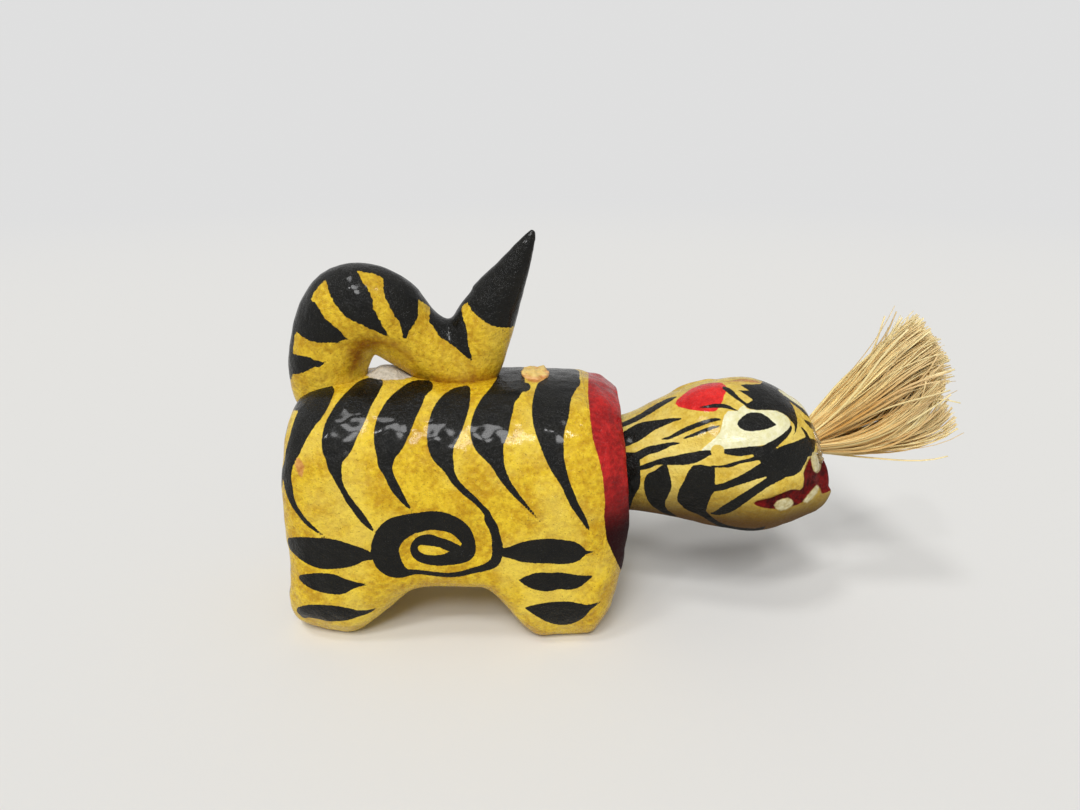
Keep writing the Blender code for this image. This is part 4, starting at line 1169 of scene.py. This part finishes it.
# dried glue round the root of the tuft: a thin ring with drops on it
glueForm = {
    "lean": math.radians(18),
    "shift": (-0.0012, -0.0010, -0.0014),
    "thickness": 0.00045,
    "ringSides": 12,
    "ringSteps": 56,
    "drawSeed": 3,
    "drops": 17,
    "dropSlip": (-0.3, 0.3),
    "dropSize": (0.00022, 0.00060),
    "dropOut": (-0.2, 0.9),
    "dropUp": (-0.4, 0.7),
    "lumpSize": 0.0011,
    "lumpHeight": 0.00030,
    "dimpleSize": 0.0006,
    "dimpleHeight": 0.00008,
    "seed": (0.2, 0.6, 0.1),
}


def makeGlue(material):
    form = glueForm
    low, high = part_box("whisker_glue_ring")
    radius = (high.y - low.y) / 2 - form["thickness"]
    draw = random.Random(form["drawSeed"])
    bm = bmesh.new()
    upright = Matrix.Translation((radius, 0, 0)) @ Matrix.Rotation(math.pi / 2, 4, "X")
    bmesh.ops.create_circle(bm, radius=form["thickness"], segments=form["ringSides"], matrix=upright)
    ring = bm.verts[:] + bm.edges[:]
    spin = {"axis": (0, 0, 1), "angle": 2 * math.pi, "steps": form["ringSteps"], "use_merge": True}
    bmesh.ops.spin(bm, geom=ring, **spin)
    for number in range(form["drops"]):
        turn = 2 * math.pi * (number + draw.uniform(*form["dropSlip"])) / form["drops"]
        size = draw.uniform(*form["dropSize"])
        reach = radius + draw.uniform(*form["dropOut"]) * form["thickness"]
        rise = draw.uniform(*form["dropUp"]) * form["thickness"]
        place = (reach * math.cos(turn), reach * math.sin(turn), rise)
        bmesh.ops.create_icosphere(bm, subdivisions=2, radius=size, matrix=Matrix.Translation(place))
    bmesh.ops.recalc_face_normals(bm, faces=bm.faces)
    addLumps(bm, form)
    turn = Matrix.Rotation(math.pi / 2 - form["lean"], 3, "Y")
    bmesh.ops.rotate(bm, cent=(0, 0, 0), matrix=turn, verts=bm.verts)
    bmesh.ops.translate(bm, vec=(low + high) / 2 + Vector(form["shift"]), verts=bm.verts)
    return newPiece("whiskerGlue", bm, material, "head", "clear_glue", "whisker_glue_ring")


# worn lump where the thread is knotted through the back
knotForm = {
    "size": (0.0033, 0.0048, 0.0018),
    "sides": 56,
    "rings": 40,
    "sunk": 0.0003,
    "flatTop": 0.0010,
    "topSlope": 0.12,
    "topRise": (0.0003, 0.0008),  # the top is worn pale between these heights over the back
    "topColour": (228, 196, 116),
    "lumpSize": 0.0013,
    "lumpHeight": 0.00085,
    "dimpleSize": 0.0007,
    "dimpleHeight": 0.00018,
    "seed": (0.4, 0.3, 0.9),
}


def makeKnot(material):
    form = knotForm
    low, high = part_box("thread_knot")
    bm = bmesh.new()
    bmesh.ops.create_uvsphere(bm, u_segments=form["sides"], v_segments=form["rings"], radius=1)
    bmesh.ops.scale(bm, vec=form["size"], verts=bm.verts)
    for vert in bm.verts:
        vert.co.z = min(vert.co.z, form["flatTop"] + form["topSlope"] * vert.co.z)
    middle = Vector(((low.x + high.x) / 2, 0, bodyForm["back"] - form["sunk"]))
    bmesh.ops.translate(bm, vec=middle, verts=bm.verts)
    addLumps(bm, form)
    return newPiece("wornKnot", bm, material, "body", "hemp_thread", "thread_knot")


# materials
def linear(red, green, blue):
    # a colour as read off a picture, 0 to 255
    values = []
    for value in (red, green, blue):
        share = value / 255
        values.append(share / 12.92 if share <= 0.04045 else ((share + 0.055) / 1.055) ** 2.4)
    return (*values, 1.0)


def setInputs(tree, node, inputs):
    # each input takes a plain value or another node's output
    for label, value in inputs.items():
        if isinstance(value, (int, float, tuple)):
            node.inputs[label].default_value = value
        else:
            tree.links.new(value, node.inputs[label])
    return node


def addNode(tree, kind, inputs=()):
    return setInputs(tree, tree.nodes.new("ShaderNode" + kind), dict(inputs))


def addMath(tree, operation, first, second):
    node = addNode(tree, "Math", {0: first, 1: second})
    node.operation = operation
    return node.outputs[0]


def addRange(tree, value, low, high, toLow=0.0, toHigh=1.0):
    ends = {"From Min": low, "From Max": high, "To Min": toLow, "To Max": toHigh}
    node = addNode(tree, "MapRange", {"Value": value, **ends})
    node.interpolation_type = "SMOOTHSTEP"
    return node.outputs["Result"]


def addMix(tree, share, first, second):
    node = tree.nodes.new("ShaderNodeMix")
    node.data_type = "RGBA"
    return setInputs(tree, node, {0: share, 6: first, 7: second}).outputs[2]


def addAttribute(tree, name):
    node = addNode(tree, "Attribute")
    node.attribute_name = name
    return node.outputs["Fac"]


def objectPlace(tree):
    return addNode(tree, "TexCoord").outputs["Object"]


def objectHeight(tree):
    return addNode(tree, "SeparateXYZ", {0: objectPlace(tree)}).outputs["Z"]


# scale, detail and roughness
noiseLooks = {
    "broad": (190, 3.0, 0.55),
    "dent": (330, 2.0, 0.5),
    "small": (900, 3.0, 0.6),
    "grain": (3200, 2.0, 0.6),
    "cloud": (75, 4.0, 0.6),
    "brush": (1500, 3.0, 0.6),
    "speck": (2300, 3.0, 0.7),
    "glint": (2600, 2.0, 0.7),
    "fleck": (500, 3.0, 0.6),
    "fibre": (1500, 2.0, 0.5),
}


def addNoise(tree, name):
    scale, detail, roughness = noiseLooks[name]
    inputs = {"Vector": objectPlace(tree), "Scale": scale, "Detail": detail, "Roughness": roughness}
    return addNode(tree, "TexNoise", inputs).outputs["Fac"]


def addBump(tree, shader, height, strength, depth):
    bump = addNode(tree, "Bump", {"Strength": strength, "Distance": depth, "Height": height})
    tree.links.new(bump.outputs["Normal"], shader.inputs["Normal"])


def newGroup(name, inputs, outputs):
    group = bpy.data.node_groups.new(name, "ShaderNodeTree")
    for label, value in inputs.items():
        socket = group.interface.new_socket(name=label, in_out="INPUT", socket_type="NodeSocketFloat")
        socket.default_value = value
    for label in outputs:
        group.interface.new_socket(name=label, in_out="OUTPUT", socket_type="NodeSocketFloat")
    return group, group.nodes.new("NodeGroupInput").outputs, group.nodes.new("NodeGroupOutput")


def useGroup(tree, group, inputs):
    node = tree.nodes.new("ShaderNodeGroup")
    node.node_tree = group
    return setInputs(tree, node, inputs).outputs


def brushEdgeGroup():
    group, given, result = newGroup("brushEdge", {"Distance": 0.0, "Ragged": 0.2, "Soft": 0.05}, ["Mask"])
    fine = addMath(group, "SUBTRACT", addNoise(group, "brush"), 0.5)
    wander = addMath(group, "MULTIPLY", addMath(group, "MULTIPLY", fine, 2.0), given["Ragged"])
    moved = addMath(group, "ADD", given["Distance"], wander)
    low = addMath(group, "MULTIPLY", given["Soft"], -1.0)
    setInputs(group, result, {"Mask": addRange(group, moved, low, given["Soft"], 1.0, 0.0)})
    return group


lumpLook = {
    "broadShare": 0.45,
    "smallShare": 0.55,
    "mottleRange": (0.36, 0.66),
    "cloudRange": (0.42, 0.68),
    "grainShare": 0.4,
}


def paperLumpGroup():
    look = lumpLook
    outputs = ["Mottle", "Cloud", "Height"]
    group, given, result = newGroup("paperLumps", {"Coarse": 1.0, "Fine": 1.0}, outputs)
    small = addNoise(group, "small")
    mottle = addMath(group, "MULTIPLY", addNoise(group, "broad"), look["broadShare"])
    mottle = addMath(group, "ADD", mottle, addMath(group, "MULTIPLY", small, look["smallShare"]))
    coarse = addMath(group, "MULTIPLY", addNoise(group, "dent"), given["Coarse"])
    fine = addMath(group, "MULTIPLY", addNoise(group, "grain"), look["grainShare"])
    fine = addMath(group, "MULTIPLY", addMath(group, "ADD", fine, small), given["Fine"])
    setInputs(group, result, {
        "Mottle": addRange(group, mottle, *look["mottleRange"]),
        "Cloud": addRange(group, addNoise(group, "cloud"), *look["cloudRange"]),
        "Height": addMath(group, "ADD", coarse, fine),
    })
    return group


def newMaterial(name):
    material = bpy.data.materials.new(name)
    material.use_nodes = True
    tree = material.node_tree
    return material, tree, tree.nodes["Principled BSDF"]


skinColours = {
    "yellow": (232, 197, 44),
    "deepYellow": (190, 144, 16),
    "paleYellow": (238, 214, 96),
    "speck": (112, 78, 20),
    "ink": (8, 8, 6),
    "inkWorn": (20, 19, 14),
    "red": (196, 36, 34),
    "deepRed": (142, 16, 18),
    # painted shade: the collar's red turns near black low down, where it faces away from the light
    "lowRed": (38, 5, 7),
    "mouth": (120, 18, 16),
    "mouthDark": (56, 10, 12),
    "cream": (232, 226, 168),
    "creamDark": (206, 190, 120),
    "orange": (214, 156, 84),
    "orangeDark": (178, 112, 44),
    "teeth": (222, 214, 172),
    "teethDark": (184, 168, 116),
    "bare": (228, 220, 206),
    "bareDark": (190, 182, 166),
    # brown of the glue, also used as painted shade under the tail and in its loop
    "glueAndShade": (140, 88, 18),
    "paper": (186, 168, 132),
    "paperDark": (150, 128, 92),
}

headColours = {
    "yellow": (230, 200, 84),
    "deepYellow": (202, 164, 48),
    "paleYellow": (240, 224, 140),
    "speck": (170, 130, 44),
    # painted shade: brown under the chin
    "low": (92, 64, 26),
    "red": (234, 42, 38),
    "deepRed": (198, 24, 26),
    "cream": (242, 238, 204),
    "creamDark": (226, 220, 166),
}

tailColours = {
    "yellow": (226, 190, 46),
    "deepYellow": (182, 138, 18),
    "paleYellow": (230, 202, 78),
}

# from the lowest layer of paint to the highest: its two colours, and how ragged and soft its edge is in mm
paintLooks = {
    # glue and painted shade: brown at the tail's landing and in its loop
    "glueAndShade": ("glueAndShade", "deepYellow", 0.5, 1.5),
    "orange": ("orangeDark", "orange", 0.6, 0.25),
    "cream": ("creamDark", "cream", 0.12, 0.10),
    "red": ("deepRed", "red", 0.18, 0.08),
    "mouth": ("mouthDark", "mouth", 0.12, 0.12),
    "teeth": ("teethDark", "teeth", 0.25, 0.22),
    "ink": ("ink", "inkWorn", 0.16, 0.06),
    "bare": ("bareDark", "bare", 0.5, 0.2),
}

skinLook = {
    "lumps": {"Coarse": 1.0, "Fine": 0.80},
    "cloudShare": 0.5,
    "speckRange": (0.58, 0.70),
    "speckShare": 0.6,
    # painted shade: heights over which the chin's yellow and the collar's red darken towards the bottom
    "lowHeights": (0.026, 0.040),
    "redShadeHeights": (0.027, 0.043),
    "insideRange": (0.6, 0.9),
    "roughRange": (0.35, 0.7, 0.16, 0.34),
    "dullRough": 0.45,
    "coatRange": (0.0, 1.0, 0.21, 0.0),
    "gloss": {"Specular IOR Level": 0.10, "Coat Roughness": 0.10},
    "bump": (0.6, 0.0010),
}


def paintedSkin(name, brushEdge, paperLumps, own=()):
    look = skinLook
    material, tree, shader = newMaterial(name)
    colours = {label: linear(*colour) for label, colour in {**skinColours, **dict(own)}.items()}
    lumps = useGroup(tree, paperLumps, look["lumps"])

    def mottled(dark, pale):
        return addMix(tree, lumps["Mottle"], colours[dark], colours[pale])

    def less(value):
        return addMath(tree, "SUBTRACT", 1.0, value)

    cloud = addMath(tree, "MULTIPLY", lumps["Cloud"], look["cloudShare"])
    colour = addMix(tree, cloud, mottled("deepYellow", "yellow"), colours["paleYellow"])
    speck = addRange(tree, addNoise(tree, "speck"), *look["speckRange"])
    colour = addMix(tree, addMath(tree, "MULTIPLY", speck, look["speckShare"]), colour, colours["speck"])
    height = objectHeight(tree)
    # painted shade: the head's yellow darkens towards the chin
    if "low" in colours:
        lowHeight = addRange(tree, height, *look["lowHeights"])
        colour = addMix(tree, lowHeight, colours["low"], colour)
    # painted shade: the collar's red darkens towards the bottom
    redShadeHeight = addRange(tree, height, *look["redShadeHeights"])
    masks = {}
    for layer, (dark, pale, ragged, soft) in paintLooks.items():
        edge = {"Distance": addAttribute(tree, layer), "Ragged": ragged, "Soft": soft}
        masks[layer] = useGroup(tree, brushEdge, edge)["Mask"]
        paint = mottled(dark, pale)
        if layer == "red":
            paint = addMix(tree, redShadeHeight, colours["lowRed"], paint)
        colour = addMix(tree, masks[layer], colour, paint)
    within = addRange(tree, addAttribute(tree, "inside"), *look["insideRange"])
    colour = addMix(tree, within, colour, mottled("paperDark", "paper"))
    # low on the red and under the chin, where shade is painted, inside and in the mouth there is no gloss
    dull = addMath(tree, "MULTIPLY", masks["red"], less(redShadeHeight))
    dull = addMath(tree, "MAXIMUM", dull, within)
    dull = addMath(tree, "MAXIMUM", dull, masks["mouth"])
    if "low" in colours:
        dull = addMath(tree, "MAXIMUM", dull, less(lowHeight))
    rough = addRange(tree, addNoise(tree, "glint"), *look["roughRange"])
    rough = addMath(tree, "ADD", rough, addMath(tree, "MULTIPLY", dull, look["dullRough"]))
    coat = addRange(tree, dull, *look["coatRange"])
    setInputs(tree, shader, {"Base Color": colour, "Roughness": rough, "Coat Weight": coat, **look["gloss"]})
    addBump(tree, shader, lumps["Height"], *look["bump"])
    return material


fibreLook = {
    "dark": (202, 152, 74),
    "pale": (255, 236, 170),
    "tip": (246, 234, 190),
    "tipRange": (0.4, 1.0),
    "tipShare": 0.4,
    "fleck": (196, 150, 84),
    "fleckRange": (0.5, 0.75),
    "fleckShare": 0.28,
    "roughRange": (0.3, 0.7, 0.42, 0.62),
}


def fibreMaterial():
    look = fibreLook
    material, tree, shader = newMaterial("plantFibre")
    shade = addRange(tree, addAttribute(tree, "shade"), 0.0, 1.0)
    colour = addMix(tree, shade, linear(*look["dark"]), linear(*look["pale"]))
    tip = addRange(tree, addAttribute(tree, "along"), *look["tipRange"])
    tip = addMath(tree, "MULTIPLY", tip, look["tipShare"])
    colour = addMix(tree, tip, colour, linear(*look["tip"]))
    fleck = addRange(tree, addNoise(tree, "fleck"), *look["fleckRange"])
    fleck = addMath(tree, "MULTIPLY", fleck, look["fleckShare"])
    colour = addMix(tree, fleck, colour, linear(*look["fleck"]))
    rough = addRange(tree, addNoise(tree, "fibre"), *look["roughRange"])
    setInputs(tree, shader, {"Base Color": colour, "Roughness": rough})
    return material


# plain stuff: dark and pale colour, scale of the grain, roughness, bump's depth, stretch, further inputs
plainLooks = {
    "plainPaper": ((150, 132, 100), (190, 172, 138), 600, 0.85, 0.0002, (1, 1, 1), {}),
    "ironWire": ((60, 56, 52), (104, 98, 92), 900, 0.45, 0.00005, (1, 1, 1), {"Metallic": 1.0}),
    "hempThread": ((150, 124, 82), (206, 184, 138), 2200, 0.8, 0.0002, (1, 1, 0.4), {}),
    "paleWood": ((176, 136, 86), (212, 178, 128), 700, 0.6, 0.0001, (0.2, 1, 1), {}),
    "bamboo": ((168, 132, 66), (204, 172, 104), 900, 0.45, 0.0001, (0.08, 1, 1), {}),
    "greyClay": ((112, 104, 94), (146, 136, 124), 450, 0.9, 0.0003, (1, 1, 1), {}),
    "wornKnot": ((196, 134, 66), (232, 184, 120), 1300, 0.5, 0.0003, (0.25, 1, 1), {}),
    "clearGlue": (
        (206, 180, 128), (232, 216, 176), 900, 0.14, 0.0001, (1, 1, 1), {"Transmission Weight": 0.7},
    ),
}

grainLook = {
    "detail": 4,
    "colourRange": (0.32, 0.68),
    "roughRange": (0.3, 0.7),
    "roughSpread": 0.08,
    "bump": 0.5,
}


def plainMaterial(name):
    # a stretched noise in colour, roughness and bump
    look = grainLook
    dark, pale, scale, rough, depth, stretch, further = plainLooks[name]
    material, tree, shader = newMaterial(name)
    place = addNode(tree, "Mapping", {"Vector": objectPlace(tree), "Scale": stretch}).outputs["Vector"]
    inputs = {"Vector": place, "Scale": scale, "Detail": look["detail"]}
    grain = addNode(tree, "TexNoise", inputs).outputs["Fac"]
    colour = addMix(tree, addRange(tree, grain, *look["colourRange"]), linear(*dark), linear(*pale))
    if name == "wornKnot":
        heights = (bodyForm["back"] + rise for rise in knotForm["topRise"])
        top = addRange(tree, objectHeight(tree), *heights)
        colour = addMix(tree, top, colour, linear(*knotForm["topColour"]))
    ends = (rough - look["roughSpread"], rough + look["roughSpread"])
    rough = addRange(tree, grain, *look["roughRange"], *ends)
    setInputs(tree, shader, {"Base Color": colour, "Roughness": rough, **further})
    addBump(tree, shader, grain, look["bump"], depth)
    return material


skinGroups = (brushEdgeGroup(), paperLumpGroup())
bodyLacquer = paintedSkin("bodyLacquer", *skinGroups)
headLacquer = paintedSkin("headLacquer", *skinGroups, headColours)
tailLacquer = paintedSkin("tailLacquer", *skinGroups, tailColours)
plantFibre = fibreMaterial()
plain = {name: plainMaterial(name) for name in plainLooks}
print("materials made")

# pieces
def makeHalves(whole, names, material, body, wall, painter):
    for side, (name, node) in zip((1, -1), names):
        half = whole.copy()
        cutAway(half, (0, 0, 0), (0, side, 0))
        piece = newPiece(name, half, material, body, "yellow_lacquer", node)
        setPaint(*giveWall(piece, wall, painter))
    whole.free()


def makeBody(material):
    form = bodyForm
    skin = makeBodySkin()
    seamPlace = Vector((frontX - form["seamSetback"], 0, form["mouthHeight"]))
    seamNormal = Vector((math.cos(form["seamLean"]), 0, math.sin(form["seamLean"])))
    lip = skin.copy()
    cutAway(lip, seamPlace, -seamNormal)
    cutAway(skin, seamPlace, seamNormal)
    names = (("bodySkinRight", "body_half_right"), ("bodySkinLeft", "body_half_left"))
    makeHalves(skin, names, material, "body", form["wall"], paintBody)
    piece = newPiece("mouthLip", lip, material, "body", "red_lacquer", "mouth_ring")
    mesh, paint = giveWall(piece, form["wall"], paintBody)
    points = meshRows(mesh)[0]
    rimX = bodyMiddle + form["rimX"] - form["rimLean"] * (points[:, 2] - form["mouthHeight"])
    paint["inside"] *= smoothStep(rimX - points[:, 0], *form["rimPaint"])
    setPaint(mesh, paint)


makeBody(bodyLacquer)
print("body and lip made")

makeTail(tailLacquer)
print("tail made")

headNames = (("headSkinRight", "head_half_right"), ("headSkinLeft", "head_half_left"))
makeHalves(makeHeadSkin(), headNames, headLacquer, "head", headForm["wall"], paintHead)
print("head made")

makeTuft(plantFibre)
makeGlue(plain["clearGlue"])
makeKnot(plain["wornKnot"])
print("tuft, glue and knot made")

# hidden gear keeps its solids
gearMaterials = {
    "back_seam_strip": "plainPaper",
    "belly_seam_strip": "plainPaper",
    "crown_seam_strip": "plainPaper",
    "chin_seam_strip": "plainPaper",
    "tail_core_wire": "ironWire",
    "hanging_thread": "hempThread",
    "thread_loop": "hempThread",
    "neck_plug": "paleWood",
    "balance_rod": "bamboo",
    "counterweight": "greyClay",
}
for name, materialName in gearMaterials.items():
    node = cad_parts[name]
    node.data.materials.clear()
    node.data.materials.append(plain[materialName])
print("gear dressed")

# studio
studio = {
    "floorSize": 4.0,
    "floor": linear(230, 229, 226),
    "floorFinish": {"Roughness": 0.8, "Specular IOR Level": 0.1},
    "backdrop": 0.74,
    "sky": 0.32,
    "fadeNear": 0.35,
    "fadeFar": 1.30,
}

# where each lamp shines from, how wide it looks in degrees, and its strength
lamps = {
    "keyLight": ((-0.05, -0.50, 0.44), 12, 0.95),
    "middleLight": ((-0.10, -0.36, 0.50), 12, 0.85),
    "topLight": ((-0.20, -0.18, 0.60), 11, 0.50),
    "leftGlint": ((-0.22, -0.34, 0.42), 4, 0.22),
    "rightGlint": ((0.10, -0.36, 0.46), 4, 0.20),
}


def addLamp(name, place, wide, strength):
    data = bpy.data.lights.new(name, "SUN")
    data.angle = math.radians(wide)
    data.energy = strength
    lamp = bpy.data.objects.new(name, data)
    lamp.location = place
    lamp.rotation_euler = (-Vector(place)).to_track_quat("-Z", "Y").to_euler()
    scene.collection.objects.link(lamp)


def makeFloor():
    bm = bmesh.new()
    bmesh.ops.create_grid(bm, x_segments=1, y_segments=1, size=studio["floorSize"])
    mesh = bpy.data.meshes.new("studioFloor")
    bm.to_mesh(mesh)
    bm.free()
    floor = bpy.data.objects.new("studioFloor", mesh)
    scene.collection.objects.link(floor)
    material, tree, shader = newMaterial("studioFloor")
    setInputs(tree, shader, {"Base Color": studio["floor"], **studio["floorFinish"]})
    # the far floor glows like the backdrop, so that the two run together
    reach = addNode(tree, "VectorMath")
    reach.operation = "LENGTH"
    setInputs(tree, reach, {0: objectPlace(tree)})
    far = addRange(tree, reach.outputs["Value"], studio["fadeNear"], studio["fadeFar"])
    glow = addNode(tree, "Emission", {"Strength": studio["backdrop"]})
    mix = addNode(tree, "MixShader", {0: far, 1: shader.outputs[0], 2: glow.outputs[0]})
    setInputs(tree, tree.nodes["Material Output"], {"Surface": mix.outputs[0]})
    mesh.materials.append(material)


def makeStudio():
    makeFloor()
    world = bpy.data.worlds.new("studio")
    world.use_nodes = True
    tree = world.node_tree
    backdrop = tree.nodes["Background"]
    backdrop.inputs["Color"].default_value = (1, 1, 1, 1)
    path = tree.nodes.new("ShaderNodeLightPath")
    seen = addMath(tree, "MAXIMUM", path.outputs["Is Camera Ray"], path.outputs["Is Transmission Ray"])
    seen = addMath(tree, "MAXIMUM", seen, path.outputs["Is Glossy Ray"])
    strength = addRange(tree, seen, 0.0, 1.0, studio["sky"], studio["backdrop"])
    tree.links.new(strength, backdrop.inputs["Strength"])
    scene.world = world
    for name, (place, wide, strength) in lamps.items():
        addLamp(name, place, wide, strength)


makeStudio()
print("studio lit")
